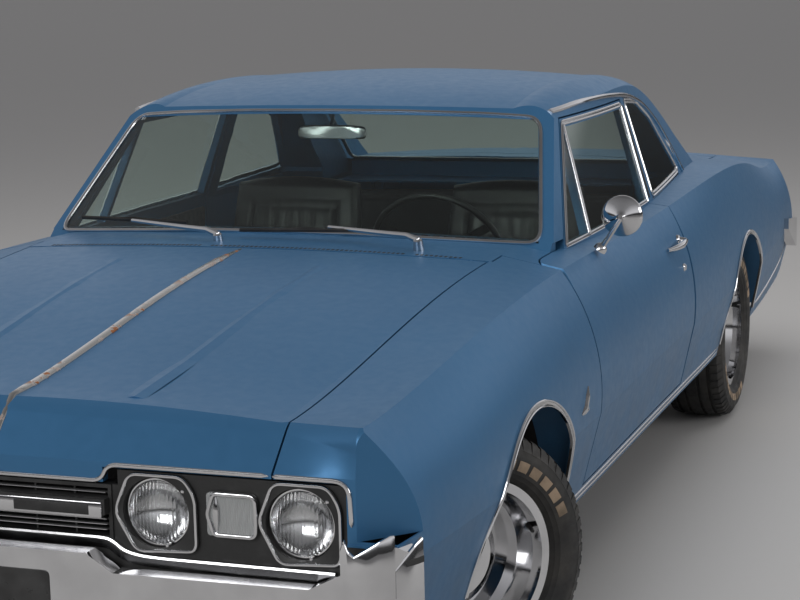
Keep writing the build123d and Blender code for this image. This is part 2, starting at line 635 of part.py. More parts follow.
def bumper_band(sign, front, shoulder, corner, end):
    """A bumper in plan: a shallow bow with round corners, as a band of even depth."""
    def outline(inset):
        bow = ThreePointArc((-shoulder[0], shoulder[1] + sign * inset), (0, front + sign * inset),
                            (shoulder[0], shoulder[1] + sign * inset))
        right = ThreePointArc((shoulder[0], shoulder[1] + sign * inset),
                              (corner[0] - inset * 0.7, corner[1] + sign * inset * 0.7),
                              (end[0] - inset, end[1]))
        left = ThreePointArc((-end[0] + inset, end[1]), (-corner[0] + inset * 0.7, corner[1] + sign * inset * 0.7),
                             (-shoulder[0], shoulder[1] + sign * inset))
        return make_face([bow, right, Line((end[0] - inset, end[1]), (-end[0] + inset, end[1])), left])
    return outline(0) - outline(BUMPER_DEPTH)


def make_front_bumper():
    band = bumper_band(1, -FRONT_OVERHANG, (800, -880), (905, -852), (940, -792))
    bumper = extrude(Plane.XY.offset(300) * band, 500)
    shape = [(-960, 452), (-900, 412), (900, 412), (960, 452), (960, 560), (905, 604), (862, 604), (800, 548),
             (728, 512), (300, 512), (240, 550), (-240, 550), (-300, 512), (-728, 512), (-800, 548),
             (-862, 604), (-905, 604), (-960, 560)]
    bumper = (bumper & along(shape, -1000, -700)) - (outer & block(-1000, 1000, BODY_FRONT, 0, 200, 800))
    for side in (-1, 1):
        x = side * 418
        bumper = bumper + block(x - 20, x + 20, -870, PANEL_FRONT, 420, 500)
    return bumper - plate_holes(-1000, FRONT_PLATE_Z)


def make_rear_bumper():
    band = bumper_band(-1, LENGTH - FRONT_OVERHANG, (800, 4272), (900, 4232), (942, 4130))
    bumper = extrude(Plane.XY.offset(400) * band, 300)
    for side in (-1, 1):
        wing = block(side * 921 - 21, side * 921 + 21, 3907, 4131, 400, 700)
        bumper = bumper + wing
    shape = [(3900, 575), (3900, 616), (4120, 592), (4300, 572), (4300, 458), (4120, 470)]
    bumper = (bumper & across(shape, -1000, 1000)) - (outer & block(-1000, 1000, 3000, BODY_REAR, 200, 800))
    for side in (-1, 1):
        x = side * 500
        bumper = bumper + block(x - 20, x + 20, TAIL_FACE + PANEL_THICK, 4262, 480, 540)
    return bumper - plate_holes(4200, REAR_PLATE_Z)


def make_tail_panel():
    plate = inner & block(-1000, 1000, TAIL_FACE, TAIL_FACE + PANEL_THICK, 345, 1000)
    top = skin & block(-LID_HALF_WIDTH - 3, LID_HALF_WIDTH + 3, LID_REAR + GAP, BODY_REAR, 700, 1000)
    return plate + top


def make_tail_lamps():
    pieces = []
    for side in (-1, 1):
        x = side * 560
        lamp = block(x - 200, x + 200, TAIL_FACE + PANEL_THICK, BODY_REAR - 6, 640, 740)
        for z in (672, 706):
            lamp = lamp - block(x - 210, x + 210, BODY_REAR - 16, BODY_REAR, z - 3, z + 3)
        pieces.append(lamp)
    return Compound(pieces)


def make_frame():
    frame = None
    for side in (-1, 1):
        points = [(side * x, s, z) for x, s, z in RAIL_PATH]
        for start, end in zip(points, points[1:]):
            piece = bar_between(start, end, RAIL_WIDTH, RAIL_HEIGHT)
            frame = piece if frame is None else frame + piece
        for x, s, z in points[1:-1]:
            frame = frame + (Pos(x, s, z) * Box(RAIL_WIDTH + 8, 90, RAIL_HEIGHT))
    frame = frame + block(-430, 430, -70, 70, 170, 300)
    frame = frame + block(-700, 700, 1480, 1580, 268, 288) + block(-520, 520, 2560, 2620, 400, 450)
    frame = frame + block(-520, 520, 4040, 4100, 345, 415)
    for side in (-1, 1):
        frame = frame + block(side * 418 - 30, side * 418 + 30, -70, 70, 170, 340)
        frame = frame + block(side * 520 - 30, side * 520 + 30, 4090, TAIL_FACE, 345, 415)
        for s in JACK_STATIONS:
            frame = frame + block(side * JACK_X - 40, side * JACK_X + 40, s - 60, s + 60, JACK_Z, 240)
    return frame - block(-1000, 1000, -2000, 5000, 0, 170)


def make_floor():
    path = [(530, 304), (2170, 304), (2330, 400), (2480, 480), (3150, 530), (3330, 432), (TAIL_FACE, 432)]
    top = [(s, z + FLOOR_THICK) for s, z in reversed(path)]
    floor = across(path + top, -772, 772)
    floor = floor - block(634, 900, 2445, 4300, 200, 700) - block(-900, -634, 2445, 4300, 200, 700)
    half = TUNNEL_HALF
    hump = across([(530, 304), (2330, 400), (2420, 400), (900, 480), (530, 520)], -half, half)
    hump = hump + across([(530, 304), (2170, 304), (2330, 400)], -half, half)
    hollow = across([(500, 200), (2480, 200), (2480, 388), (900, 472), (500, 512)], 8 - half, half - 8)
    sides = block(628, 634, 3330, TAIL_FACE, 432, 640) + block(-634, -628, 3330, TAIL_FACE, 432, 640)
    return (floor + hump - hollow) + sides


def ring(radius, s, x0, x1, z=TYRE_RADIUS):
    return rod(radius, (x0, s, z), (x1, s, z))


def make_rim():
    """A deep wheel of rolled steel with a ringed centre cap, on its brake drum. Its axis is X."""
    barrel = revolve(Plane.XZ * make_face(Polyline(*RIM_PROFILE, close=True)), Axis.X)
    disc = [(-16, 168), (-8, 168), (-2, 120), (12, 96), (12, 17), (-55, 17), (-55, DRUM_RADIUS), (-22, DRUM_RADIUS),
            (-20, 140)]
    centre = revolve(Plane.XZ * make_face(Polyline(*disc, close=True)), Axis.X)
    cap = revolve(Plane.XZ * make_face([
        Line((12, 0), (44, 0)), ThreePointArc((44, 0), (42, 16), (34, 30)), Line((34, 30), (30, 30)),
        Line((30, 30), (27, 52)), Line((27, 52), (12, 58)), Line((12, 58), (12, 0))]), Axis.X)
    return barrel + centre + cap


def make_tyre():
    half, flat = TYRE_WIDTH / 2, TYRE_FLAT
    section = make_face([
        Line((-92, 209), (92, 209)),
        ThreePointArc((92, 209), (half, 262), (flat, TYRE_RADIUS - 10)),
        ThreePointArc((flat, TYRE_RADIUS - 10), (0, TYRE_RADIUS), (-flat, TYRE_RADIUS - 10)),
        ThreePointArc((-flat, TYRE_RADIUS - 10), (-half, 262), (-92, 209)),
    ])
    bead = make_face(Polyline((-90, 210), (90, 210), (84, 194.3), (60, 190.3), (-60, 190.3), (-84, 194.3), close=True))
    return revolve(Plane.XZ * (section + bead), Axis.X)


def steered(shape, side):
    """Turns a front hub's piece, drawn about its kingpin with the wheels straight, to the parked angle."""
    shape = shape if side > 0 else other_side(shape)
    return Pos(side * KINGPIN_X, 0, 0) * (Rot(0, 0, -REST_STEER) * shape)


def make_knuckle():
    """Drawn for the left side about its kingpin, with the wheel straight ahead."""
    post = rod(24, (0, 0, LOWER_ARM_Z[1] + BALL_PLAY), (0, 0, UPPER_ARM_Z[0] - BALL_PLAY))
    spindle = rod(16, (0, 0, TYRE_RADIUS), (FRONT_WHEEL_X - KINGPIN_X + 10, 0, TYRE_RADIUS))
    plate = rod(98, (20, 0, TYRE_RADIUS), (25, 0, TYRE_RADIUS))
    arm = bar_between((0, 0, 256), (-ARM_IN, ARM_BACK, 256), 26, 16)
    eye = rod(17, (-ARM_IN, ARM_BACK, 248), (-ARM_IN, ARM_BACK, 264))
    return post + spindle + plate + arm + eye


def turned(x, s):
    """Where a point of the left or right hub lies once the wheels are turned to the parked angle."""
    c, w = cos(radians(REST_STEER)), sin(radians(REST_STEER))
    return (x * c + s * w, -x * w + s * c)


LEFT_EYE = (KINGPIN_X + turned(-ARM_IN, ARM_BACK)[0], turned(-ARM_IN, ARM_BACK)[1])
RIGHT_EYE = (-KINGPIN_X + turned(ARM_IN, ARM_BACK)[0], turned(ARM_IN, ARM_BACK)[1])
LEFT_BALL = LEFT_EYE[0] - (TIE_LENGTH ** 2 - (LEFT_EYE[1] - RELAY_S) ** 2) ** 0.5
RIGHT_BALL = RIGHT_EYE[0] + (TIE_LENGTH ** 2 - (RIGHT_EYE[1] - RELAY_S) ** 2) ** 0.5


def make_tie_rod(ball_x, eye):
    start, end = (ball_x, RELAY_S, TIE_Z), (eye[0], eye[1], TIE_Z)
    rod_shape = rod(8, start, end)
    for x, s, top in ((ball_x, RELAY_S, 241), (eye[0], eye[1], 248 - BALL_PLAY)):
        rod_shape = rod_shape + rod(14, (x, s, TIE_Z - 9), (x, s, TIE_Z + 9)) + rod(7, (x, s, TIE_Z), (x, s, top))
    return rod_shape


def make_relay():
    relay = rod(10, (RIGHT_BALL, RELAY_S, 252), (LEFT_BALL, RELAY_S, 252))
    for x in (RIGHT_BALL, LEFT_BALL):
        relay = relay + rod(14, (x, RELAY_S, 241 + BALL_PLAY), (x, RELAY_S, 262))
    return relay


def make_front_suspension(frame):
    parts = None
    for side in (-1, 1):
        low = upright([(side * 415, -150), (side * 415, 150), (side * 640, 30), (side * 704, 16),
                       (side * 704, -16), (side * 640, -30)], *LOWER_ARM_Z)
        up = upright([(side * 440, -110), (side * 440, 110), (side * 640, 28), (side * 704, 16),
                      (side * 704, -16), (side * 640, -28)], *UPPER_ARM_Z)
        tower = block(side * 425 - 25, side * 425 + 25, -110, 110, 375, 450)
        leg = block(side * 418 - 25, side * 418 + 25, -150, 150, LOWER_ARM_Z[0], LOWER_ARM_Z[1])
        spring = rod(46, (side * 520, 0, LOWER_ARM_Z[1]), (side * 490, 0, UPPER_ARM_Z[0]))
        piece = low + up + tower + leg + spring
        parts = piece if parts is None else parts + piece
    gear = block(330, 388, 160, 250, 266, 350)
    shaft = rod(11, (355, 240, 330), (370, 530, 640)) - block(0, 700, 521, 600, 500, 800)
    parts = parts - frame
    return Compound([*parts.solids(), gear + shaft])


def make_rear_axle():
    axle = ring(40, WHEELBASE, -720, 720)
    axle = axle + ring(16, WHEELBASE, -REAR_WHEEL_X - 8, REAR_WHEEL_X + 8)
    centre = Pos(0, WHEELBASE, TYRE_RADIUS) * Sphere(135)
    nose = rod(60, (0, WHEELBASE, TYRE_RADIUS), (0, WHEELBASE - 230, TYRE_RADIUS))
    axle = axle + centre + nose
    for side in (-1, 1):
        axle = axle + ring(124, WHEELBASE, min(side * 722, side * 717), max(side * 722, side * 717))
        axle = axle + bar_between((side * 560, WHEELBASE, 290), (side * 560, 2430, 300), 44, 60)
        arm = bar_between((side * 300, WHEELBASE, 380), (side * 330, 2600, 425), 40, 40)
        axle = axle + (arm - block(-600, 600, 2500, 2620 + BALL_PLAY, 300, 600))
        axle = axle + rod(46, (side * 435, WHEELBASE - 70, 320), (side * 430, WHEELBASE - 80, 492))
    return axle


def make_driveline():
    box = loft([Plane(origin=(0, 440, 385), z_dir=(0, 1, 0)) * Rectangle(240, 240),
                Plane(origin=(0, 1250, 340), z_dir=(0, 1, 0)) * Rectangle(150, 150)])
    shaft = rod(38, (0, 1250, 335), (0, WHEELBASE - 230.6, TYRE_RADIUS))
    return box + shaft


def make_engine():
    return block(-ENGINE_WIDTH / 2, ENGINE_WIDTH / 2, -260, 440, 300, 300 + ENGINE_HEIGHT)


def make_radiator():
    core = block(-340, 340, -520, -460, 330, 760)
    tank = block(-300, 300, -525, -455, 760, 800)
    carrier = block(-760, 760, -560, -548, 640, 700) + block(-640, 640, -560, -520, 375, 400)
    posts = block(-346, -336, -560, -460, 330, 760) + block(336, 346, -560, -460, 330, 760)
    return core + tank + carrier + posts


def make_exhaust():
    parts = []
    for side in (-1, 1):
        path = FilletPolyline(*[(side * x, s, z) for x, s, z in PIPE_ROUTE], radius=PIPE_BEND)
        pipe = sweep(Plane(origin=path @ 0, z_dir=path % 0) * Circle(PIPE_RADIUS), path)
        can = Plane(origin=(side * 372, 1600, 246), x_dir=(1, 0, 0), z_dir=(0, 1, 0)) * RectangleRounded(200, 96, 44)
        x, s, z = side * 600, 3600, 388
        hanger = rod(8, (x, s, 300), (x, s, z))
        rail_side = sorted((side * (RAIL_PATH[-1][0] + RAIL_WIDTH / 2 + BALL_PLAY), x + side * 8))
        hanger = hanger + block(*rail_side, s - 8, s + 8, z - 16, z)
        parts.append(pipe + extrude(can, 560) + hanger)
    return Compound(parts)


def make_tank():
    tank = Pos(0, 3720, 350) * Box(760, 620, 140)
    tank = fillet(tank.edges().filter_by(Axis.X), 30)
    return tank + block(-300, 300, 3500, 3900, 410, 432)


def column_point(back):
    return (WHEEL_CENTRE[0], WHEEL_CENTRE[1] - back * cos(radians(COLUMN_TILT)),
            WHEEL_CENTRE[2] - back * sin(radians(COLUMN_TILT)))


def make_dashboard():
    face = make_face([
        Line((640, 760), (770, 620)), Line((770, 620), (850, 660)),
        ThreePointArc((850, 660), (868, 780), (852, 885)), ThreePointArc((852, 885), (820, 916), (760, 921)),
        Line((760, 921), (640, 921)), Line((640, 921), (640, 760)),
    ])
    dash = extrude(Plane.YZ.offset(-745) * face, 1490)
    dash = dash + block(-745, 745, 530, 660, 800, 830)
    column = rod(24, column_point(60 + BALL_PLAY), column_point(480))
    return dash + column


def make_steering_wheel():
    wheel = Torus(STEER_RADIUS, 9)
    wheel = wheel + extrude(Circle(38), 26)
    wheel = wheel + Pos(0, 0, -30) * Cylinder(22, 60)
    for turn in (0, 120, 240):
        spoke = Rot(0, 0, turn + 90) * (Pos(STEER_RADIUS / 2, 0, 2) * Box(STEER_RADIUS, 26, 4))
        wheel = wheel + spoke
    tilt = Rot(-(90 - COLUMN_TILT), 0, 0)
    return Pos(*WHEEL_CENTRE) * (tilt * wheel)


def make_front_seats():
    seats = []
    for side in (-1, 1):
        x = side * 385
        cushion = across([(1130, 400), (1150, 330), (1640, 330), (1650, 470), (1400, 490), (1150, 500)], x - 240, x + 240)
        back = across([(1600, 470), (1740, 480), (1850, 1010), (1760, 1030), (1640, 620)], x - 235, x + 235)
        base = block(x - 200, x + 200, 1200, 1600, FLOOR_TOP, 332)
        seats.append(cushion + back + base)
    return Compound(seats)


def make_rear_seat():
    cushion = across([(2060, 312.3), (2169.8, 312.3), (2329.8, 408.3), (2440, 467), (2450, 500), (2300, 472), (2040, 490)],
                     -600, 600)
    cushion = cushion - across([(2000, 200), (2000, 425), (2480, 402), (2480, 200)], -TUNNEL_HALF - 2, TUNNEL_HALF + 2)
    back = across([(2440, 490), (2484, 491), (2505, 492), (2655, 880), (2585, 893), (2450, 640)], -620, 620)
    return cushion + back


def make_wipers():
    parts = []
    for x in (-118, 467):
        s, z = 560, 986
        hub = rod(14, (x, s, z - 30), (x, s, z + 6)) - outer
        arm = bar_between((x, s, z + 3), (x - 240, s + 70, z + 9), 10, 6)
        blade = bar_between((x - 70, s + 66, z + 8), (x - 410, s + 76, z + 8), 8, 12)
        parts.append(hub + arm + blade)
    return Compound(parts)


def make_antenna():
    x, s = -786, 430
    base = (Pos(x, s, 930) * Cone(19, 12, 44)) - outer
    return base + rod(3, (x, s, 945), (x - 12, s + 30, 1380))


def make_mirror():
    """The round mirror on the driver's door."""
    head = Pos(921, 981, 1014) * (Rot(90, 0, 0) * Cylinder(52, 26))
    stem = rod(9, (868, 968, 925), (905, 980, 985))
    foot = Pos(852, 966, 924) * Box(40, 70, 20)
    return head + (stem + foot - outer)


def make_inside_mirror(roof):
    glass = block(-110, 110, 1120, 1140, 1195, 1245)
    return glass + rod(6, (0, 1136, 1230), (0, 1150, 1310)) - roof


def build():
    """Every piece of the car by name, in stations."""
    door, door_glass, fender, quarter = make_door(), make_door_glass(), make_fender(), make_quarter()
    quarter_glass = (glass_wall & across(QUARTER_HOLE, 500, 900))
    rear_glass = across([(2392, 1290), (2400, 1290), (2780, 958), (2772, 958)], -SAIL_INNER_X, SAIL_INNER_X)
    roof, frame, deck = make_roof(), make_frame(), make_deck()
    rear_glass = rear_glass - roof - deck - quarter - other_side(quarter)
    rim, tyre = make_rim(), make_tyre()
    rocker = make_rocker()
    pieces = {
        "frame_rails": frame, "floor_pan": make_floor(), "rockers": both_sides(rocker),
        "fender_left": fender, "fender_right": other_side(fender), "cowl_panel": make_cowl(),
        "roof_panel": roof, "quarter_left": quarter, "quarter_right": other_side(quarter),
        "deck_panel": deck, "tail_panel": make_tail_panel(), "front_panel": make_front_panel(),
        "windshield": glass_wall & SCREEN_HOLE, "rear_window": rear_glass,
        "quarter_glass": both_sides(quarter_glass - quarter), "front_bumper": make_front_bumper(),
        "rear_bumper": make_rear_bumper(), "grille": make_grille(), "headlamp_bezels": make_bezels(),
        "headlamps": make_headlamps(), "turn_lamps": make_turn_lamps(), "tail_lamps": make_tail_lamps(),
        "radiator": make_radiator(), "engine_block": make_engine(), "driveline": make_driveline(),
        "dashboard": make_dashboard(), "front_seats": make_front_seats(), "rear_seat": make_rear_seat(),
        "front_suspension": make_front_suspension(frame), "rear_axle": make_rear_axle(), "exhaust": make_exhaust(),
        "fuel_tank": make_tank(), "wipers": make_wipers(), "antenna": make_antenna(),
        "inside_mirror": make_inside_mirror(roof), "door_left": door, "door_left_glass": door_glass,
        "door_right": other_side(door), "door_right_glass": other_side(door_glass), "side_mirror": make_mirror(),
        "hood": make_hood(), "trunk_lid": make_lid(), "steering_wheel": make_steering_wheel(),
        "relay_rod": make_relay(), "tie_rod_left": make_tie_rod(LEFT_BALL, LEFT_EYE),
        "tie_rod_right": make_tie_rod(RIGHT_BALL, RIGHT_EYE),
    }
    knuckle = make_knuckle()
    for side, name in ((1, "left"), (-1, "right")):
        hub = Pos(FRONT_WHEEL_X - KINGPIN_X, 0, TYRE_RADIUS)
        pieces["knuckle_" + name] = steered(knuckle, side)
        pieces["rim_front_" + name] = steered(hub * rim, side)
        pieces["tyre_front_" + name] = steered(hub * tyre, side)
        rear = Pos(REAR_WHEEL_X, WHEELBASE, TYRE_RADIUS)
        pieces["rim_rear_" + name] = rear * rim if side > 0 else other_side(rear * rim)
        pieces["tyre_rear_" + name] = rear * tyre if side > 0 else other_side(rear * tyre)
    return pieces


os.makedirs("parts", exist_ok=True)
for name, shape in build().items():
    export_step(Pos(0, FRONT_OVERHANG - LENGTH / 2, 0) * shape, "parts/" + name + ".step")
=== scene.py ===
import json
from math import cos, pi, radians, sin

import bmesh
import bpy
from mathutils import Matrix, Quaternion, Vector
from mathutils.bvhtree import BVHTree


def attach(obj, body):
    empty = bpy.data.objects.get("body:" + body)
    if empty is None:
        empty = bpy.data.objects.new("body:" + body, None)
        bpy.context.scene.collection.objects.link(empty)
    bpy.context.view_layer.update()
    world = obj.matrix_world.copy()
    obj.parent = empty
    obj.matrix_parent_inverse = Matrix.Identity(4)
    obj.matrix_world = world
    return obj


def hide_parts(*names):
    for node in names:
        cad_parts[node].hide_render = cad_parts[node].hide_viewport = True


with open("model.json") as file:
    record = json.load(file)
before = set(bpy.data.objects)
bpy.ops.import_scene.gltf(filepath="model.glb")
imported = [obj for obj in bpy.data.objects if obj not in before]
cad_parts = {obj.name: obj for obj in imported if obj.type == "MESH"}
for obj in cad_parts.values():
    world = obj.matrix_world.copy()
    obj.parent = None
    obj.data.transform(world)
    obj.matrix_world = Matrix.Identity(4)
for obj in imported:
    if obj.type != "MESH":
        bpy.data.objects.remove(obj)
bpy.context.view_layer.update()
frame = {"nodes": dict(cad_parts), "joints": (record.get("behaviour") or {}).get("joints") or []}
nodes = frame["nodes"]
jointAt = {j["name"]: Vector(j.get("pos_m", (0, 0, 0))) for j in frame["joints"]}
jointAxis = {j["name"]: Vector(j.get("axis", (0, 0, 1))) for j in frame["joints"]}

# Places are x, station behind the front axle and height, in millimetres
mm = 0.001
frontAxleY = jointAt["steer_left"].y
rearAxle = (jointAt["rear_wheel_left_spin"].y - frontAxleY) / mm
hubHeight = jointAt["rear_wheel_left_spin"].z / mm


def at(x, s, z):
    return Vector((x * mm, s * mm + frontAxleY, z * mm))


# Camera: the photograph's own viewing angle
camera = dict(x=2179.4, station=-4320.3, height=1748.3, azimuth=19.90, elevation=10.02, roll=-1.32,
              focalPixels=1963.4, imageWidth=800, sensor=36, clip=(0.05, 400))


def makeCamera():
    a, e = radians(camera["azimuth"]), radians(camera["elevation"])
    back = Vector((sin(a) * cos(e), -cos(a) * cos(e), sin(e)))
    right = Quaternion(back, radians(camera["roll"])) @ (-back).cross(Vector((0, 0, 1))).normalized()
    up = back.cross(right)
    data = bpy.data.cameras.new("photoCamera")
    data.sensor_width = camera["sensor"]
    data.lens = camera["focalPixels"] / camera["imageWidth"] * camera["sensor"]
    data.clip_start, data.clip_end = camera["clip"]
    obj = bpy.data.objects.new("photoCamera", data)
    bpy.context.scene.collection.objects.link(obj)
    basis = Matrix((right, up, back)).transposed().to_4x4()
    obj.matrix_world = Matrix.Translation(at(camera["x"], camera["station"], camera["height"])) @ basis
    bpy.context.scene.camera = obj


makeCamera()
print("camera placed")


# Studio: pale floor, a large soft lamp overhead that nothing mirrors, and two weaker ones.
# The sky's stops run from the ground (0) over the horizon (0.5) to straight up (1).
studio = dict(floorSize=400, floorColour=(0.46, 0.45, 0.44, 1), floorRoughness=0.75, world=0.8, skyBlue=1.03,
              sky=[(0.50, 0.03), (0.545, 0.08), (0.58, 0.95), (0.67, 0.80), (0.80, 0.34), (1.0, 0.15)],
              lamps=[("overheadLamp", (0.3, 0.8, 6.5), (0, 0, 0), (7, 9), 300, False),
                     ("frontLamp", (-1.0, -9.0, 4.2), (0.0, -1.5, 0.6), (5, 2.5), 230, True),
                     ("sideLamp", (9.0, 0.5, 3.4), (0.5, 0.5, 0.7), (7, 2.5), 190, True)])


def makeStudio():
    mesh = bpy.data.meshes.new("studioFloor")
    bm = bmesh.new()
    bmesh.ops.create_grid(bm, x_segments=1, y_segments=1, size=studio["floorSize"] / 2)
    bm.to_mesh(mesh)
    bm.free()
    floor = bpy.data.objects.new("studioFloor", mesh)
    bpy.context.scene.collection.objects.link(floor)
    mat = bpy.data.materials.new("floorPaper")
    mat.use_nodes = True
    shader = mat.node_tree.nodes["Principled BSDF"]
    shader.inputs["Base Color"].default_value = studio["floorColour"]
    shader.inputs["Roughness"].default_value = studio["floorRoughness"]
    mesh.materials.append(mat)
    for name, place, aim, size, power, inGloss in studio["lamps"]:
        data = bpy.data.lights.new(name, "AREA")
        data.shape = "RECTANGLE"
        data.size, data.size_y = size
        data.energy = power
        lamp = bpy.data.objects.new(name, data)
        lamp.location = place
        lamp.rotation_euler = (Vector(aim) - Vector(place)).to_track_quat("-Z", "Y").to_euler()
        lamp.visible_glossy = inGloss
        lamp.visible_transmission = inGloss
        bpy.context.scene.collection.objects.link(lamp)
    world = bpy.data.worlds.new("studioWorld")
    bpy.context.scene.world = world
    world.use_nodes = True
    tree = world.node_tree
    coords = tree.nodes.new("ShaderNodeTexCoord")
    split = tree.nodes.new("ShaderNodeSeparateXYZ")
    ramp = tree.nodes.new("ShaderNodeValToRGB")
    stops = ramp.color_ramp.elements
    while len(stops) < len(studio["sky"]):
        stops.new(0.5)
    for stop, (position, level) in zip(stops, studio["sky"]):
        stop.position, stop.color = position, (level, level, level * studio["skyBlue"], 1)
    half = tree.nodes.new("ShaderNodeMath")
    half.operation = "MULTIPLY_ADD"
    half.inputs[1].default_value, half.inputs[2].default_value = 0.5, 0.5
    tree.links.new(coords.outputs["Generated"], split.inputs[0])
    tree.links.new(split.outputs["Z"], half.inputs[0])
    tree.links.new(half.outputs[0], ramp.inputs[0])
    tree.links.new(ramp.outputs[0], tree.nodes["Background"].inputs["Color"])
    tree.nodes["Background"].inputs["Strength"].default_value = studio["world"]
    bpy.context.scene.view_settings.view_transform = "Standard"


makeStudio()
print("studio lit")


# Materials. Most values of a noise lie within this band.
noiseBand = (0.3, 0.7)


class Shading:
    def __init__(self, name, colour, metallic=0.0, roughness=0.5):
        self.mat = bpy.data.materials.new(name)
        self.mat.use_nodes = True
        self.tree = self.mat.node_tree
        self.shader = self.tree.nodes["Principled BSDF"]
        self.coords = self.tree.nodes.new("ShaderNodeTexCoord").outputs["Object"]
        self.set("Base Color", (*colour, 1))
        self.set("Metallic", metallic)
        self.set("Roughness", roughness)

    def set(self, label, value):
        self.shader.inputs[label].default_value = value

    def noise(self, scale, detail=3):
        node = self.tree.nodes.new("ShaderNodeTexNoise")
        node.inputs["Scale"].default_value = scale
        node.inputs["Detail"].default_value = detail
        self.tree.links.new(self.coords, node.inputs["Vector"])
        return node.outputs["Fac"]

    def spots(self, scale, low, high):
        # a soft mask that is 0 below low and 1 above high
        return self.remap(self.noise(scale, 5), low, high, 0, 1)

    def mottle(self, patches, first, second, wear, levels):
        # patches of a second colour, and a roughness that wanders between two levels
        self.link("Base Color", self.mixColour(self.spots(*patches), first, second))
        self.link("Roughness", self.remap(self.noise(*wear), *noiseBand, *levels))

    def remap(self, value, fromLow, fromHigh, toLow, toHigh):
        node = self.tree.nodes.new("ShaderNodeMapRange")
        for socket, number in zip((1, 2, 3, 4), (fromLow, fromHigh, toLow, toHigh)):
            node.inputs[socket].default_value = number
        self.tree.links.new(value, node.inputs["Value"])
        return node.outputs["Result"]

    def mixColour(self, factor, first, second):
        node = self.tree.nodes.new("ShaderNodeMix")
        node.data_type = "RGBA"
        for socket, colour in ((6, first), (7, second)):
            if isinstance(colour, tuple):
                node.inputs[socket].default_value = (*colour, 1)
            else:
                self.tree.links.new(colour, node.inputs[socket])
        self.tree.links.new(factor, node.inputs[0])
        return node.outputs[2]

    def along(self, letter):
        node = self.tree.nodes.new("ShaderNodeSeparateXYZ")
        self.tree.links.new(self.coords, node.inputs[0])
        return node.outputs[letter]

    def ribs(self, scale):
        # upright flutes, as on lamp glass
        node = self.tree.nodes.new("ShaderNodeTexWave")
        node.bands_direction = "X"
        node.inputs["Scale"].default_value = scale
        self.tree.links.new(self.coords, node.inputs["Vector"])
        return node.outputs["Fac"]

    def maths(self, operation, first, second):
        node = self.tree.nodes.new("ShaderNodeMath")
        node.operation = operation
        for socket, value in enumerate((first, second)):
            if isinstance(value, (int, float)):
                node.inputs[socket].default_value = value
            else:
                self.tree.links.new(value, node.inputs[socket])
        return node.outputs[0]

    def bump(self, height, strength, distance=0.001):
        node = self.tree.nodes.new("ShaderNodeBump")
        node.inputs["Strength"].default_value = strength
        node.inputs["Distance"].default_value = distance
        self.tree.links.new(height, node.inputs["Height"])
        self.link("Normal", node.outputs[0])

    def link(self, label, value):
        self.tree.links.new(value, self.shader.inputs[label])


# Where the panels turn into wheelhouses, the paint turns black
archZone = dict(reach=0.412, outerX=0.85, top=0.80, stations=(frontAxleY, frontAxleY + rearAxle * mm))


def insideArches(m):
    inner = m.maths("LESS_THAN", m.maths("ABSOLUTE", m.along("X"), 0), archZone["outerX"])
    low = m.maths("LESS_THAN", m.along("Z"), archZone["top"])
    near = [m.maths("LESS_THAN", m.maths("ABSOLUTE", m.maths("SUBTRACT", m.along("Y"), y), 0),
                    archZone["reach"]) for y in archZone["stations"]]
    return m.maths("MULTIPLY", m.maths("MULTIPLY", inner, low), m.maths("MAXIMUM", *near))


# Dust covers up to 0.30 of the paint at a height of 0.30 m and thins out to none at 0.75 m
paintLook = dict(metallic=0.5, roughness=0.42, coat=0.08, coatRoughness=0.28, specular=0.3, clouds=(1.6, 4),
                 dustColour=(0.12, 0.12, 0.12), dust=(0.30, 0.75, 0.30, 0), dustSpots=(9, 0.35, 0.7),
                 archBlack=(0.012, 0.012, 0.012), wear=(38, 6), wearLevels=(0.38, 0.46), grain=(240, 2),
                 grainDepth=(0.012, 0.0004))


def satinPaint(name, colour, dark):
    look = paintLook
    m = Shading(name, colour, metallic=look["metallic"], roughness=look["roughness"])
    m.set("Coat Weight", look["coat"])
    m.set("Coat Roughness", look["coatRoughness"])
    m.set("Specular IOR Level", look["specular"])
    base = m.mixColour(m.remap(m.noise(*look["clouds"]), *noiseBand, 0, 1), colour, dark)
    dust = m.maths("MULTIPLY", m.remap(m.along("Z"), *look["dust"]), m.spots(*look["dustSpots"]))
    painted = m.mixColour(dust, base, look["dustColour"])
    m.link("Base Color", m.mixColour(insideArches(m), painted, look["archBlack"]))
    m.link("Roughness", m.remap(m.noise(*look["wear"]), *noiseBand, *look["wearLevels"]))
    m.bump(m.noise(*look["grain"]), *look["grainDepth"])
    return m.mat


chromeLook = dict(colour=(0.66, 0.66, 0.67), dull=0.86, dullSpots=(9, 0.40, 0.70), haze=(24, 5),
                  hazeBand=(0.35, 0.75), hazeRise=0.07, pits=(300, 2), pitStrength=0.03, pitDepth=0.0003)
# Rust shows in specks that lie within wider patches
rustLook = dict(clean=(0.60, 0.59, 0.57), rust=(0.23, 0.085, 0.03), roughness=0.8, speckScale=34,
                speckBand=(0.60, 0.64), patches=(5, 0.42, 0.56), depth=(0.4, 0.0006))


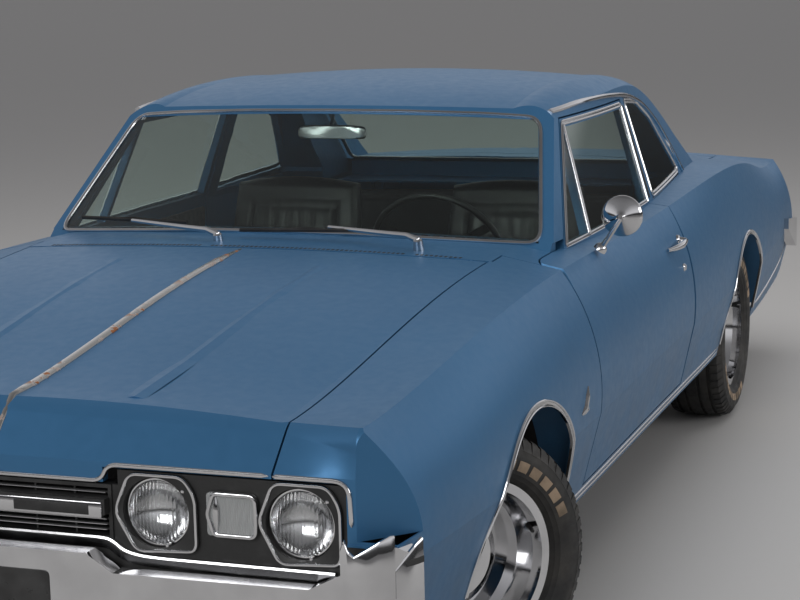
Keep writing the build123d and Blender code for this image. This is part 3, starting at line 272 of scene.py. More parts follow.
def chromePlate(name, roughness=0.05, pitting=0.0, rust=0.0):
    look, colour = chromeLook, chromeLook["colour"]
    m = Shading(name, colour, metallic=1.0, roughness=roughness)
    haze = m.remap(m.noise(*look["haze"]), *look["hazeBand"], roughness, roughness + look["hazeRise"])
    if rust:
        low, high = rustLook["speckBand"]
        specks = m.spots(rustLook["speckScale"], low - rust, high - rust)
        mask = m.maths("MULTIPLY", specks, m.spots(*rustLook["patches"]))
        m.link("Base Color", m.mixColour(mask, rustLook["clean"], rustLook["rust"]))
        m.link("Metallic", m.remap(mask, 0, 1, 1, 0))
        m.link("Roughness", m.maths("MAXIMUM", haze, m.remap(mask, 0, 1, 0, rustLook["roughness"])))
        m.bump(mask, *rustLook["depth"])
    else:
        m.link("Roughness", haze)
        dull = tuple(c * look["dull"] for c in colour)
        m.link("Base Color", m.mixColour(m.spots(*look["dullSpots"]), colour, dull))
        m.bump(m.noise(*look["pits"]), look["pitStrength"] + pitting, look["pitDepth"])
    return m.mat


def paneGlass(name, tint, flutes=0):
    m = Shading(name, tint, roughness=0.0)
    m.set("Transmission Weight", 1.0)
    m.set("IOR", 1.5)
    if flutes:
        m.bump(m.ribs(flutes), 0.6, 0.0015)
    return m.mat


def mattBlack(name, level=0.012, roughness=0.5):
    colour, lighter = (level,) * 3, (level * 2.6,) * 3
    m = Shading(name, colour, roughness=roughness)
    m.mottle((16, 0.45, 0.75), colour, lighter, (60, 4), (roughness - 0.08, roughness + 0.12))
    m.bump(m.noise(420, 3), 0.12, 0.0004)
    return m.mat


def tyreRubber(name):
    m = Shading(name, (0.012, 0.012, 0.012), roughness=0.62)
    m.mottle((14, 0.4, 0.72), (0.010, 0.010, 0.010), (0.035, 0.032, 0.028), (45, 4), (0.5, 0.74))
    m.bump(m.noise(700, 3), 0.2, 0.0005)
    return m.mat


def grainedVinyl(name, colour):
    m = Shading(name, colour, roughness=0.46)
    cells = m.tree.nodes.new("ShaderNodeTexVoronoi")
    cells.inputs["Scale"].default_value = 520
    m.tree.links.new(m.coords, cells.inputs["Vector"])
    lighter = tuple(c * 1.9 for c in colour)
    m.mottle((7, 0.4, 0.7), colour, lighter, (50, 4), (0.38, 0.55))
    m.bump(cells.outputs["Distance"], 0.35, 0.0005)
    return m.mat


def dirtyMetal(name, colour, metallic=0.0, roughness=0.6, grime=(0.05, 0.04, 0.03)):
    m = Shading(name, colour, metallic=metallic, roughness=roughness)
    mask = m.spots(11, 0.42, 0.66)
    m.link("Base Color", m.mixColour(mask, colour, grime))
    m.link("Roughness", m.remap(mask, 0, 1, roughness, min(roughness + 0.25, 1)))
    m.bump(m.noise(160, 5), 0.3, 0.001)
    return m.mat


def lensPlastic(name, colour, ribs):
    m = Shading(name, colour, roughness=0.12)
    m.set("Transmission Weight", 0.55)
    m.set("IOR", 1.49)
    m.bump(m.ribs(ribs), 0.8, 0.002)
    return m.mat


paintBlue = satinPaint("satinBluePaint", (0.047, 0.158, 0.310), (0.041, 0.142, 0.284))
dashPaint = satinPaint("dashBluePaint", (0.030, 0.110, 0.200), (0.022, 0.085, 0.165))
chrome = chromePlate("chromePlate")
brightTrim = chromePlate("brightTrim", roughness=0.16, pitting=0.05)
rustedTrim = chromePlate("rustedHoodTrim", roughness=0.18, rust=0.05)
glass = paneGlass("windowGlass", (0.80, 0.90, 0.86))
lampGlass = paneGlass("lampGlass", (0.96, 0.97, 0.97))
# black paint, which also serves as painted shade in the cowl slots and the bumper end slots
blackPaintAndPaintedShade = mattBlack("blackPaintAndPaintedShade")
blackRubber = mattBlack("blackRubber", 0.010, 0.6)
rubber = tyreRubber("tyreRubber")
vinyl = grainedVinyl("blackVinyl", (0.010, 0.010, 0.011))
chassisPaint = dirtyMetal("chassisPaint", (0.02, 0.02, 0.02))
engineIron = dirtyMetal("engineIron", (0.06, 0.11, 0.15))
exhaustSteel = dirtyMetal("exhaustSteel", (0.30, 0.28, 0.26), metallic=0.9, roughness=0.4,
                          grime=(0.16, 0.09, 0.05))
antennaSteel = chromePlate("antennaSteel", roughness=0.22)
clearLens = lensPlastic("clearRibbedLens", (0.72, 0.74, 0.74), ribs=60)
redLens = lensPlastic("redRibbedLens", (0.42, 0.012, 0.010), ribs=90)
tyreMark = dirtyMetal("tyreMarkRubber", (0.34, 0.25, 0.17), roughness=0.7, grime=(0.13, 0.10, 0.07))
wheelBlack = mattBlack("wheelRimBlack", 0.014, 0.35)
flutedGlass = paneGlass("flutedLampGlass", (0.95, 0.96, 0.96), flutes=38)
silvered = chromePlate("silveredBowl", roughness=0.12)
mirrorBack = chromePlate("mirrorBack", roughness=0.3)
padVinyl = grainedVinyl("dashPadVinyl", (0.012, 0.022, 0.032))
darkMetal = chromePlate("darkSlatMetal", roughness=0.3, pitting=0.1)
plateFinish = mattBlack("blackPlate", 0.016, 0.35)
print("materials mixed")

# Finish of each CAD node
finishes = {
    paintBlue: ["fender_left", "fender_right", "cowl_panel", "roof_panel", "quarter_left", "quarter_right",
                "deck_panel", "tail_panel", "door_left", "door_right", "hood", "trunk_lid", "rockers"],
    blackPaintAndPaintedShade: ["front_panel", "grille", "radiator"],
    chassisPaint: ["frame_rails", "floor_pan", "front_suspension", "rear_axle", "driveline", "knuckle_left",
                   "knuckle_right", "relay_rod", "tie_rod_left", "tie_rod_right", "fuel_tank"],
    glass: ["windshield", "rear_window", "quarter_glass", "door_left_glass", "door_right_glass"],
    lampGlass: ["headlamps"],
    clearLens: ["turn_lamps"],
    redLens: ["tail_lamps"],
    chrome: ["front_bumper", "rear_bumper", "headlamp_bezels", "wipers", "side_mirror", "inside_mirror",
             "rim_front_left", "rim_front_right", "rim_rear_left", "rim_rear_right"],
    engineIron: ["engine_block"],
    dashPaint: ["dashboard"],
    wheelBlack: ["steering_wheel"],
    vinyl: ["front_seats", "rear_seat"],
    exhaustSteel: ["exhaust"],
    antennaSteel: ["antenna"],
    rubber: ["tyre_front_left", "tyre_front_right", "tyre_rear_left", "tyre_rear_right"],
}


def dressNodes():
    for material, names in finishes.items():
        for name in names:
            mesh = nodes[name].data
            if mesh.materials:
                mesh.materials[0] = material
            else:
                mesh.materials.append(material)


dressNodes()
print("panels painted")


# Making and placing pieces: how near points weld (in metres), the steps of a rounded corner, how much of a
# side it may take, and how often normals are smoothed
making = dict(weld=0.00001, spinWeld=0.00002, cornerSteps=6, cornerShare=0.45, smoothing=3)


def skinOf(*names):
    # one tree of these nodes' surfaces, to seat trim on
    points, faces = [], []
    for name in names:
        mesh = nodes[name].data
        first = len(points)
        points += [v.co.copy() for v in mesh.vertices]
        faces += [[first + i for i in p.vertices] for p in mesh.polygons]
    return BVHTree.FromPolygons(points, faces)


def roundedLine(points, radius, step, closed=False):
    # samples a line of 2-D points about one step apart, with its corners rounded off by radius
    points = [Vector(p) for p in points]
    count = len(points)
    pieces = []
    for i, p in enumerate(points):
        if not closed and i in (0, count - 1):
            pieces.append([p])
            continue
        before, after = points[i - 1] - p, points[(i + 1) % count] - p
        back = min(radius, before.length * making["cornerShare"])
        ahead = min(radius, after.length * making["cornerShare"])
        start, end = p + before.normalized() * back, p + after.normalized() * ahead
        arc = []
        for k in range(making["cornerSteps"] + 1):
            t = k / making["cornerSteps"]
            arc.append(start * (1 - t) ** 2 + p * 2 * t * (1 - t) + end * t ** 2)
        pieces.append(arc)
    line = [q for piece in pieces for q in piece]
    if closed:
        line.append(line[0])
    out = [line[0]]
    for a, b in zip(line, line[1:]):
        n = max(1, int((b - a).length / step))
        out += [a.lerp(b, (k + 1) / n) for k in range(n)]
    return out[:-1] if closed else out


# Each view: where a point of a flat line starts, and which way it drops on to a surface
castFrom = dict(side=1300, front=-1500, top=1800, cabin=1100)
views = dict(left=(lambda p: at(castFrom["side"], p.x, p.y), (-1, 0, 0)),
             right=(lambda p: at(-castFrom["side"], p.x, p.y), (1, 0, 0)),
             front=(lambda p: at(p.x, castFrom["front"], p.y), (0, 1, 0)),
             top=(lambda p: at(p.x, p.y, castFrom["top"]), (0, 0, -1)),
             cabin=(lambda p: at(p.x, castFrom["cabin"], p.y), (0, -1, 0)))


def placed(skin, line, view):
    # a line's places on a surface, and outward normals smoothed along it. A number for the surface is a
    # station: the line then lies there flat, facing ahead.
    if isinstance(skin, (int, float)):
        flip = -1 if view == "right" else 1
        return [at(flip * p.x, skin, p.y) for p in line], [Vector((0, -1, 0)) for p in line]
    toPoint, direction = views[view]
    direction = Vector(direction)
    places, normals = [], []
    for p in line:
        hit, normal, _, _ = skin.ray_cast(toPoint(p), direction)
        if hit is None:
            continue
        places.append(hit)
        normals.append(-normal if normal.dot(direction) > 0 else normal)
    for _ in range(making["smoothing"]):
        last = len(normals) - 1
        normals = [(normals[max(i - 1, 0)] + n + normals[min(i + 1, last)]).normalized()
                   for i, n in enumerate(normals)]
    return places, normals


def addRing(bm, points):
    verts = [bm.verts.new(p) for p in points]
    return [bm.edges.new((verts[i - 1], verts[i])) for i in range(len(verts))]


def loftRings(bm, rings, closed=False):
    # joins each ring of points to the next, and closes the ends or joins the last to the first
    edges = [addRing(bm, ring) for ring in rings]
    for a, b in zip(edges, edges[1:]):
        bmesh.ops.bridge_loops(bm, edges=a + b)
    if closed:
        bmesh.ops.bridge_loops(bm, edges=edges[-1] + edges[0])
    else:
        bmesh.ops.contextual_create(bm, geom=edges[0])
        bmesh.ops.contextual_create(bm, geom=edges[-1])


def layers(bm, line, place, depth, rings):
    # lofts copies of a flat line, each scaled, and set back by a share of depth
    x, s, z = place
    loftRings(bm, [[at(x + p.x * k, s + out * depth, z + p.y * k) for p in line] for k, out in rings])


def strip(bm, places, normals, section, closed=False, taper=0):
    # sweeps a section of (across, out) points in millimetres along places on a surface
    rings, count = [], len(places)
    for i, (p, n) in enumerate(zip(places, normals)):
        ahead = places[(i + 1) % count] if closed else places[min(i + 1, count - 1)]
        behind = places[i - 1] if closed else places[max(i - 1, 0)]
        run = (ahead - behind).normalized()
        out = (n - run * n.dot(run)).normalized()
        across = run.cross(out)
        size = 1.0
        if taper:
            size = min(1, 0.25 + 0.75 * min(i, count - 1 - i) / taper)
        rings.append([p + (across * a * size + out * o * size) * mm for a, o in section])
    loftRings(bm, rings, closed)


def bead(width, height, sink=3):
    # a softly domed moulding's section
    half = width / 2
    return [(-half, -sink), (-half, height * 0.35), (-half * 0.72, height * 0.86), (-half * 0.3, height),
            (half * 0.3, height), (half * 0.72, height * 0.86), (half, height * 0.35), (half, -sink)]


def finishPiece(name, bm, material, body="body", slot="chrome", angle=35):
    bmesh.ops.remove_doubles(bm, verts=bm.verts, dist=making["weld"])
    bmesh.ops.recalc_face_normals(bm, faces=bm.faces)
    mesh = bpy.data.meshes.new(name)
    bm.to_mesh(mesh)
    bm.free()
    mesh.shade_smooth()
    mesh.set_sharp_from_angle(angle=radians(angle))
    obj = bpy.data.objects.new(name, mesh)
    bpy.context.scene.collection.objects.link(obj)
    mesh.materials.append(material)
    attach(obj, body)
    return obj


def tube(bm, points, radius, sides=10):
    # a round bar through points
    rings = []
    side = None
    for i, p in enumerate(points):
        run = (points[min(i + 1, len(points) - 1)] - points[max(i - 1, 0)]).normalized()
        if side is None:
            side = run.orthogonal().normalized()
        side = (side - run * side.dot(run)).normalized()
        other = run.cross(side)
        r = radius[i] if isinstance(radius, (list, tuple)) else radius
        rings.append([p + (side * cos(2 * pi * k / sides) + other * sin(2 * pi * k / sides)) * r * mm
                      for k in range(sides)])
    loftRings(bm, rings)


def turnProfile(bm, profile, origin, axis, steps=48, closed=False):
    # spins a line of (along, radius) points in millimetres about an axis
    axis = Vector(axis).normalized()
    side = axis.orthogonal().normalized()
    verts = [bm.verts.new(origin + (axis * a + side * r) * mm) for a, r in profile]
    edges = [bm.edges.new(pair) for pair in zip(verts, verts[1:])]
    if closed:
        edges.append(bm.edges.new((verts[-1], verts[0])))
    bmesh.ops.spin(bm, geom=verts + edges, cent=origin, axis=axis, angle=2 * pi, steps=steps, use_merge=True)
    bmesh.ops.remove_doubles(bm, verts=bm.verts, dist=making["spinWeld"])


def sideBox(bm, side, across, station, height, bevel, segments=2):
    # a box on one side of the car, its x given as on the left side
    low, high = (at(*corner) for corner in zip(sorted(side * x for x in across), station, height))
    made = bmesh.ops.create_cube(bm, size=1)["verts"]
    bmesh.ops.scale(bm, vec=high - low, verts=made)
    bmesh.ops.translate(bm, vec=(low + high) / 2, verts=made)
    edges = list({e for v in made for e in v.link_edges})
    bmesh.ops.bevel(bm, geom=edges, offset=bevel * mm, offset_type="OFFSET", segments=segments,
                    profile=0.5, affect="EDGES", material=-1)


bodySkin = skinOf("fender_left", "fender_right", "quarter_left", "quarter_right", "door_left", "door_right",
                  "rockers")
frontSkin = skinOf("roof_panel", "cowl_panel", "windshield")
roofSkin = skinOf("roof_panel", "quarter_left", "quarter_right", "door_left", "door_right", "quarter_glass",
                  "door_left_glass", "door_right_glass")
print("skins read")


# Bright trim

def mirrored(points):
    return [(-x, z) for x, z in reversed(points)] + list(points)


def twin(width):
    # a section of two bright ridges with a channel between them
    half = [(0.5, -3), (0.5, 3), (0.34, 4.4), (0.18, 3), (0.1, 1)]
    return [(-a * width, o) for a, o in half] + [(a * width, o) for a, o in reversed(half)]


# Rows of a trim: points, corner radius, step, section, whether it closes, and how many steps taper its ends.
# The rows run on both sides of the car unless a view is named. The badges' places hold plain shapes.
doorWindowRows = [([(892, 938), (1199, 1252), (1885, 1252), (1852, 944)], 14, 24, twin(16), False, 0),
                  ([(892, 939), (1852, 946)], 14, 24, twin(12), False, 0),
                  ([(1121, 940), (1207, 1244)], 1, 24, bead(13, 6), False, 0)]
trims = dict(
    windshield_trim=dict(skin=frontSkin, views=["front"], rows=[
        ([(-741, 958), (-500, 972), (-250, 984), (0, 988), (250, 984), (500, 972), (741, 958), (645, 1272),
          (480, 1284), (240, 1292), (0, 1294), (-240, 1292), (-480, 1284), (-645, 1272)], 42, 26,
         bead(12, 6), True, 0)]),
    rear_window_trim=dict(skin=skinOf("rear_window"), views=["top"], rows=[
        ([(-568, 2418), (568, 2418), (568, 2762), (-568, 2762)], 26, 26, bead(15, 5), True, 0)]),
    window_trim_left=dict(skin=skinOf("door_left", "door_left_glass"), views=["left"], body="door_left",
                          rows=doorWindowRows),
    window_trim_right=dict(skin=skinOf("door_right", "door_right_glass"), views=["right"], body="door_right",
                           rows=doorWindowRows),
    quarter_window_trim=dict(
        skin=skinOf("quarter_left", "quarter_right", "quarter_glass", "roof_panel"), rows=[
            ([(1944, 952), (1954, 1258), (2134, 1244), (2296, 1178), (2490, 985), (2484, 972)], 20, 24,
             twin(16), True, 0)]),
    pillar_seals=dict(skin=roofSkin, material=blackRubber, slot="grille_black", rows=[
        ([(1902, 950), (1920, 1246)], 1, 26, bead(26, 1.5), False, 0)]),
    drip_rails=dict(skin=roofSkin, rows=[
        ([(1176, 1285), (1413, 1297), (1697, 1292), (1980, 1276), (2145, 1250), (2290, 1215), (2456, 1130),
          (2587, 963)], 120, 28, bead(17, 9), False, 0)]),
    rocker_trim=dict(skin=bodySkin, rows=[([(376, z), (2552, z)], 1, 60, bead(7, 5), False, 2)
                                          for z in (318, 334)]),
    quarter_lower_trim=dict(skin=bodySkin, rows=[
        ([(3330, 352), (3700, 372), (4020, 408), (4150, 470)], 120, 40, bead(13, 5), False, 2)]),
    fender_badges=dict(skin=bodySkin, material=chrome, rows=[
        ([(381, 588), (415, 598), (455, 646)], 8, 5, bead(16, 8), False, 5),
        ([(383, 586), (457, 592)], 1, 5, bead(7, 6), False, 4)]),
    pillar_badges=dict(skin=skinOf("quarter_left", "quarter_right", "roof_panel"), material=chrome, rows=[
        ([(2478, 1082), (2522, 1008)], 1, 6, bead(15, 7), False, 4)]),
    hood_centre_moulding=dict(skin=skinOf("hood"), views=["top"], material=rustedTrim, body="hood", rows=[
        ([(0, -838), (0, 452)], 1, 45, bead(24, 7), False, 3)]),
    hood_lip=dict(skin=-846, views=["left"], body="hood", rows=[
        (mirrored([(257, 693), (275, 728), (634, 728)]), 22, 14, bead(10, 4), False, 1)]),
    fender_lips=dict(skin=-847, rows=[([(643, 728), (806, 728), (810, 636)], 34, 7, bead(10, 4), False, 1)]),
    grille_lower_moulding=dict(skin=-843, views=["left"], rows=[
        (mirrored([(264, 570), (282, 562), (302, 546), (340, 537), (400, 535), (772, 535)]), 30, 14,
         [(-4, -3), (-4, 5), (0, 7), (4, 5), (9, 2), (22, -1), (22, -3)], False, 0)]),
    turn_lamp_frames=dict(skin=-846, material=chrome, rows=[
        ([(497, 640), (511, 683), (596, 683), (604, 674), (604, 606), (596, 597), (511, 597)], 9, 8,
         bead(9, 6), True, 0),
        ([(517, 603), (517, 677)], 1, 12, bead(15, 7), False, 2)]))


def makeTrims():
    for name, trim in trims.items():
        bm = bmesh.new()
        for view in trim.get("views", ["right", "left"]):
            for points, corner, step, section, closed, taper in trim["rows"]:
                line = roundedLine(points, corner, step, closed)
                strip(bm, *placed(trim["skin"], line, view), section, closed, taper)
        finishPiece(name, bm, trim.get("material", brightTrim), trim.get("body", "body"),
                    trim.get("slot", "chrome"))


archTrim = dict(radius=369, low=343, steps=56,
                section=[(-9, -3), (-9, 4), (-7, 6), (-4.5, 5), (-3, 2), (3, 2), (4.5, 5), (7, 6), (9, 4),
                         (9, -3)])


def makeArchTrims():
    r, steps = archTrim["radius"], archTrim["steps"]
    for end, centre in (("front", 0), ("rear", rearAxle)):
        line = [Vector((centre - r, archTrim["low"]))]
        for k in range(steps + 1):
            a = pi - pi * k / steps
            line.append(Vector((centre + r * cos(a), hubHeight + r * sin(a))))
        line = [p for p in line if p.y >= archTrim["low"]]
        bm = bmesh.new()
        for view in ("right", "left"):
            strip(bm, *placed(bodySkin, line, view), archTrim["section"])
        finishPiece("arch_trim_" + end, bm, chrome)


makeTrims()
makeArchTrims()
print("bright trim fitted")


# Headlamps: centre x, half width and half height of each bezel, as on the left side
lampSet = dict(bezels=[(378, 95, 85), (697, 92, 87)], height=630, front=-846, rimWidth=7, rimRise=3,
               rimSunk=0.5, bowlInset=1, throatTaper=2, back=-839, floor=-842, slope=0.35, throat=75,
               seat=-824, corner=20, step=7,
               outline=[(-1, 0), (-0.62, 1), (0.72, 1), (1, 0.5), (1, -0.9), (-0.5, -1)],
               screws=[(-0.70, 0.10), (0.80, 0.72), (0.30, -0.93)], screwStation=-843, screwInset=(16, 14),
               screwProfile=[(3, 0), (3, 2.4), (1.6, 4), (-2, 4), (-2, 0)])
lensProfile = [(17, 0), (16.4, 14), (14.4, 30), (11, 46), (6, 60), (2, 68), (-2, 70), (-2, 66), (2, 58),
               (7, 45), (10.4, 30), (12.6, 14), (13.2, 0)]
bowlProfile = [(-3, 69), (-16, 62), (-32, 46), (-44, 24), (-48, 6), (-48, 0), (-52, 0), (-52, 8), (-47, 28),
               (-35, 50), (-19, 66), (-5, 72)]
lampRingProfile = [(-2, 67), (3, 66.5), (6, 68.5), (6, 71.5), (3, 73.5), (-2, 73.5)]


def bezelRing(side, x, w, h, station, throat=None):
    # the bezel's six-sided outline, or the round throat on the same directions
    corners = [(side * u * w, v * h) for u, v in lampSet["outline"]]
    line = roundedLine(corners, lampSet["corner"], lampSet["step"], closed=True)
    if throat:
        line = [p.normalized() * throat for p in line]
    return [at(side * x + p.x, station, lampSet["height"] + p.y) for p in line[::side]]


def makeHeadlamps():
    frames, bowls, lenses, reflectors, rings, screws = (bmesh.new() for _ in range(6))
    ahead = Vector((0, -1, 0))
    for side in (-1, 1):
        for x, w, h in lampSet["bezels"]:
            inset = lampSet["rimWidth"] / 2
            rim = bezelRing(side, x, w - inset, h - inset, lampSet["front"] - lampSet["rimSunk"])
            strip(frames, rim, [ahead] * len(rim), bead(lampSet["rimWidth"], lampSet["rimRise"]), closed=True)
            outer = (side, x, w - lampSet["bowlInset"], h - lampSet["bowlInset"])
            back, face = bezelRing(*outer, lampSet["back"]), bezelRing(*outer, lampSet["front"])
            inner = bezelRing(*outer, lampSet["floor"], lampSet["throat"])
            taper = lampSet["throatTaper"]
            throat = bezelRing(*outer, lampSet["seat"] + taper, lampSet["throat"] - taper)
            slope = [a.lerp(b, lampSet["slope"]) for a, b in zip(face, inner)]
            loftRings(bowls, [back, face, slope, inner, throat], closed=True)
            seat = at(side * x, lampSet["seat"], lampSet["height"])
            turnProfile(lenses, lensProfile, seat, ahead, 56)
            turnProfile(reflectors, bowlProfile, seat, ahead, 48, closed=True)
            turnProfile(rings, lampRingProfile, seat, ahead, 56, closed=True)
            inX, inZ = lampSet["screwInset"]
            for u, v in lampSet["screws"]:
                height = lampSet["height"] + v * (h - inZ)
                place = at(side * (x + u * (w - inX)), lampSet["screwStation"], height)
                turnProfile(screws, lampSet["screwProfile"], place, ahead, 12)
    finishPiece("lamp_frames", frames, chrome)
    bowl = finishPiece("lamp_bezel_bowls", bowls, blackPaintAndPaintedShade, slot="grille_black")
    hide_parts("headlamp_bezels")
    lens = finishPiece("headlamp_lenses", lenses, flutedGlass, slot="lamp_glass")
    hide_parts("headlamps")
    finishPiece("headlamp_reflectors", reflectors, silvered)
    finishPiece("headlamp_rings", rings, chrome)
    finishPiece("bezel_screws", screws, brightTrim)


# The bar has a bare inset where a name would be
grilleTrim = dict(bar=((-267, 267), (-869, -857), (618, 652), 3),
                  inset=((62, 238), (-870, -867), (624, 646), 1),
                  slats=9, slatHalf=262, low=574, high=676, slatStation=(-838, -828), slatThick=3)


def makeGrilleTrim():
    bm = bmesh.new()
    sideBox(bm, 1, *grilleTrim["bar"])
    finishPiece("grille_bar", bm, chrome)
    bm = bmesh.new()
    sideBox(bm, 1, *grilleTrim["inset"])
    finishPiece("grille_bar_inset", bm, blackPaintAndPaintedShade, slot="grille_black")
    bm = bmesh.new()
    half, thick = grilleTrim["slatHalf"], grilleTrim["slatThick"] / 2
    pitch = (grilleTrim["high"] - grilleTrim["low"]) / grilleTrim["slats"]
    for i in range(1, grilleTrim["slats"]):
        z = grilleTrim["low"] + i * pitch
        sideBox(bm, 1, (-half, half), grilleTrim["slatStation"], (z - thick, z + thick), 1, 1)
    finishPiece("grille_slat_edges", bm, darkMetal, slot="grille_black")


platePiece = dict(width=306, height=152, thick=0.8, corner=14, step=20, front=(0, -896.9, 430),
                  rear=(0, 4289.9, 515),
                  section=[(1, 0), (1, 1), (0.985, 1.5), (0.965, 1.5), (0.95, 1), (0.5, 1)])


def makePlates():
    # bare plates with a raised rim
    w, h = platePiece["width"] / 2, platePiece["height"] / 2
    line = roundedLine([(-w, -h), (w, -h), (w, h), (-w, h)], platePiece["corner"], platePiece["step"],
                       closed=True)
    for name, facing in (("front", -1), ("rear", 1)):
        bm = bmesh.new()
        layers(bm, line, platePiece[name], platePiece["thick"] * facing, platePiece["section"])
        finishPiece(name + "_plate", bm, plateFinish, slot="grille_black")


makeHeadlamps()
makeGrilleTrim()
makePlates()
print("nose dressed")


# Cowl slots, drawn as black boxes of painted shade, and wipers
cowlSlots = dict(half=610, pitch=13, width=7, length=15, thick=1.2, front=492, arc=13881,
                 skip=[(-130, -106), (455, 479)])


def makeCowlSlotShade():
    bm = bmesh.new()
    cowl, size = skinOf("cowl_panel"), Vector((cowlSlots["width"], cowlSlots["length"], cowlSlots["thick"]))
    count = int(2 * cowlSlots["half"] / cowlSlots["pitch"])
    for i in range(count + 1):
        x = -cowlSlots["half"] + i * cowlSlots["pitch"]
        if any(a < x < b for a, b in cowlSlots["skip"]):
            continue
        s = cowlSlots["front"] + x * x / cowlSlots["arc"]
        hit, normal, _, _ = cowl.ray_cast(at(x, s, castFrom["top"]), Vector((0, 0, -1)))
        if hit is None:
            continue
        # a thin black box on the cowl paints the shade of one vent opening
        made = bmesh.ops.create_cube(bm, size=1)["verts"]
        bmesh.ops.scale(bm, vec=size * mm, verts=made)
        turn = Vector((0, 0, 1)).rotation_difference(normal if normal.z > 0 else -normal)
        bmesh.ops.rotate(bm, matrix=turn.to_matrix(), verts=made)
        bmesh.ops.translate(bm, vec=hit, verts=made)
    finishPiece("cowl_slot_shade", bm, blackPaintAndPaintedShade, slot="grille_black")


# Wipers: pivot, arm end, blade ends. The arm bends at shares of its length, by shares of the lift.
wiperSet = dict(armRadius=[10, 8, 7, 5], bladeRadius=6, clipRadius=2.4, clips=(0.12, 0.36, 0.64, 0.88),
                boss=[(-24, 0), (-24, 15), (-4, 13), (6, 12), (10, 7), (10, 0)], bossAxis=(0, -0.3, 1),
                lift=8, bend=[(0, 0.6), (0.12, 1.6), (0.4, 1), (1, 0)], bladeStops=(0, 0.02, 0.98, 1),
                saddleLift=0.8,
                left=[(-118, 560, 990), (-430, 655, 1014), (-609, 694, 1013), (-249, 640, 1015)],
                right=[(467, 560, 990), (180, 640, 1012), (-78, 622, 1000), (301, 622, 1008)])


def makeWipers():
    arms, blades = bmesh.new(), bmesh.new()
    for pivot, reach, start, end in (wiperSet["left"], wiperSet["right"]):
        foot, tip = at(*pivot), at(*reach)
        turnProfile(arms, wiperSet["boss"], foot, wiperSet["bossAxis"], 20)
        rise = Vector((0, 0, wiperSet["lift"] * mm))
        tube(arms, [foot.lerp(tip, t) + rise * lift for t, lift in wiperSet["bend"]],
             wiperSet["armRadius"], 8)
        a, b = at(*start), at(*end)
        tube(blades, [a.lerp(b, t) for t in wiperSet["bladeStops"]], wiperSet["bladeRadius"], 6)
        saddle = (a + b) / 2 + rise * wiperSet["saddleLift"]
        for t in wiperSet["clips"]:
            tube(blades, [saddle, a.lerp(b, t)], wiperSet["clipRadius"], 6)
    arm = finishPiece("wiper_arms", arms, brightTrim)
    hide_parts("wipers")
    finishPiece("wiper_blades", blades, blackRubber)


makeCowlSlotShade()
makeWipers()
print("cowl dressed")


# Door hardware
doorHandle = dict(start=(1632, 820), end=(1815, 826), lock=(1780, 744), near=6, proud=26, bow=14, swell=4,
                  radii=[5, 9, 11, 10, 6], foot=[(-6, 0), (-6, 17), (2, 17), (5, 11), (26, 8), (26, 0)],
                  barrel=[(-6, 0), (-6, 13), (2, 13), (5, 10), (7, 9), (7, 4), (4, 3), (4, 0)])


def makeDoorHardware():
    for side, name in ((1, "left"), (-1, "right")):
        door = skinOf("door_" + name)
        out = Vector((side, 0, 0))

        def skinAt(place, lift):
            hit, _, _, _ = door.ray_cast(at(side * castFrom["side"], *place), -out)
            return hit + out * lift * mm

        start = skinAt(doorHandle["start"], doorHandle["near"])
        end = skinAt(doorHandle["end"], doorHandle["proud"])
        middle = start.lerp(end, 0.5) + out * doorHandle["bow"] * mm
        bm = bmesh.new()
        quarter = start.lerp(middle, 0.5) + out * doorHandle["swell"] * mm
        tube(bm, [start, quarter, middle, middle.lerp(end, 0.6), end], doorHandle["radii"], 12)
        turnProfile(bm, doorHandle["foot"], skinAt(doorHandle["end"], 0), out, 20)
        turnProfile(bm, doorHandle["barrel"], skinAt(doorHandle["lock"], 0), out, 20)
        finishPiece("door_handle_" + name, bm, chrome, "door_" + name)


# The mirror's cone faces ahead
mirrorPiece = dict(head=(921, 985, 1014), axis=(0.10, -1, 0.02), foot=(866, 966, 926), footAxis=(0.6, 0, 0.8),
                   stem=[(925, 950, 1010), (912, 950, 990), (888, 958, 955), (868, 966, 928)],
                   stemRadius=[6, 7, 7, 9],
                   profile=[(36, 0), (36, 7), (33, 9), (27, 10), (24, 13), (21, 20), (13, 37), (6, 50),
                            (1, 56), (-5, 58), (-10, 57), (-11, 54), (-9, 52), (-9, 0)],
                   base=[(-8, 0), (-8, 19), (2, 18), (9, 13), (13, 6), (14, 0)])


def makeMirror():
    bm = bmesh.new()
    turnProfile(bm, mirrorPiece["profile"], at(*mirrorPiece["head"]), mirrorPiece["axis"], 72)
    tube(bm, [at(*p) for p in mirrorPiece["stem"]], mirrorPiece["stemRadius"], 14)
    turnProfile(bm, mirrorPiece["base"], at(*mirrorPiece["foot"]), mirrorPiece["footAxis"], 28)
    piece = finishPiece("door_mirror", bm, chrome, "door_left", angle=50)
    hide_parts("side_mirror")


makeDoorHardware()
makeMirror()
print("sides dressed")


# Tyres: half the section, with shoulder lugs and raised marks on the outer wall
# Each group of marks: first angle and count
tyreSet = dict(wallHalf=117.5, steps=96, lugs=60, lugShare=0.62, lugShift=0.3, markLow=241, markHigh=266,
               markAngle=7.2, markGap=2.6, markRise=1.0, markSink=2,
               markGroups=[(20, 6), (78, 4), (200, 6), (258, 4)],
               lug=[(72, 317), (92, 313), (103, 299), (111, 288), (113.6, 289), (105.5, 302.5), (97, 315.4),
                    (84.5, 320.6), (72, 322.4)],
               inside=[(-84, 196), (-60, 192), (60, 192), (84, 196)])
tyreProfile = [(92, 209), (97, 213), (103, 220), (105, 221), (110, 230), (112.4, 232), (115, 242), (117, 254),
               (117.5, 266), (116, 278), (113, 288), (113, 290), (106, 298.5), (99.5, 307.5), (95.5, 313.5),
               (84, 317.5), (68, 319.6), (66, 313), (58, 313), (56, 321), (30, 324.6), (28, 317), (20, 317),
               (18, 325.4), (0, 326)]


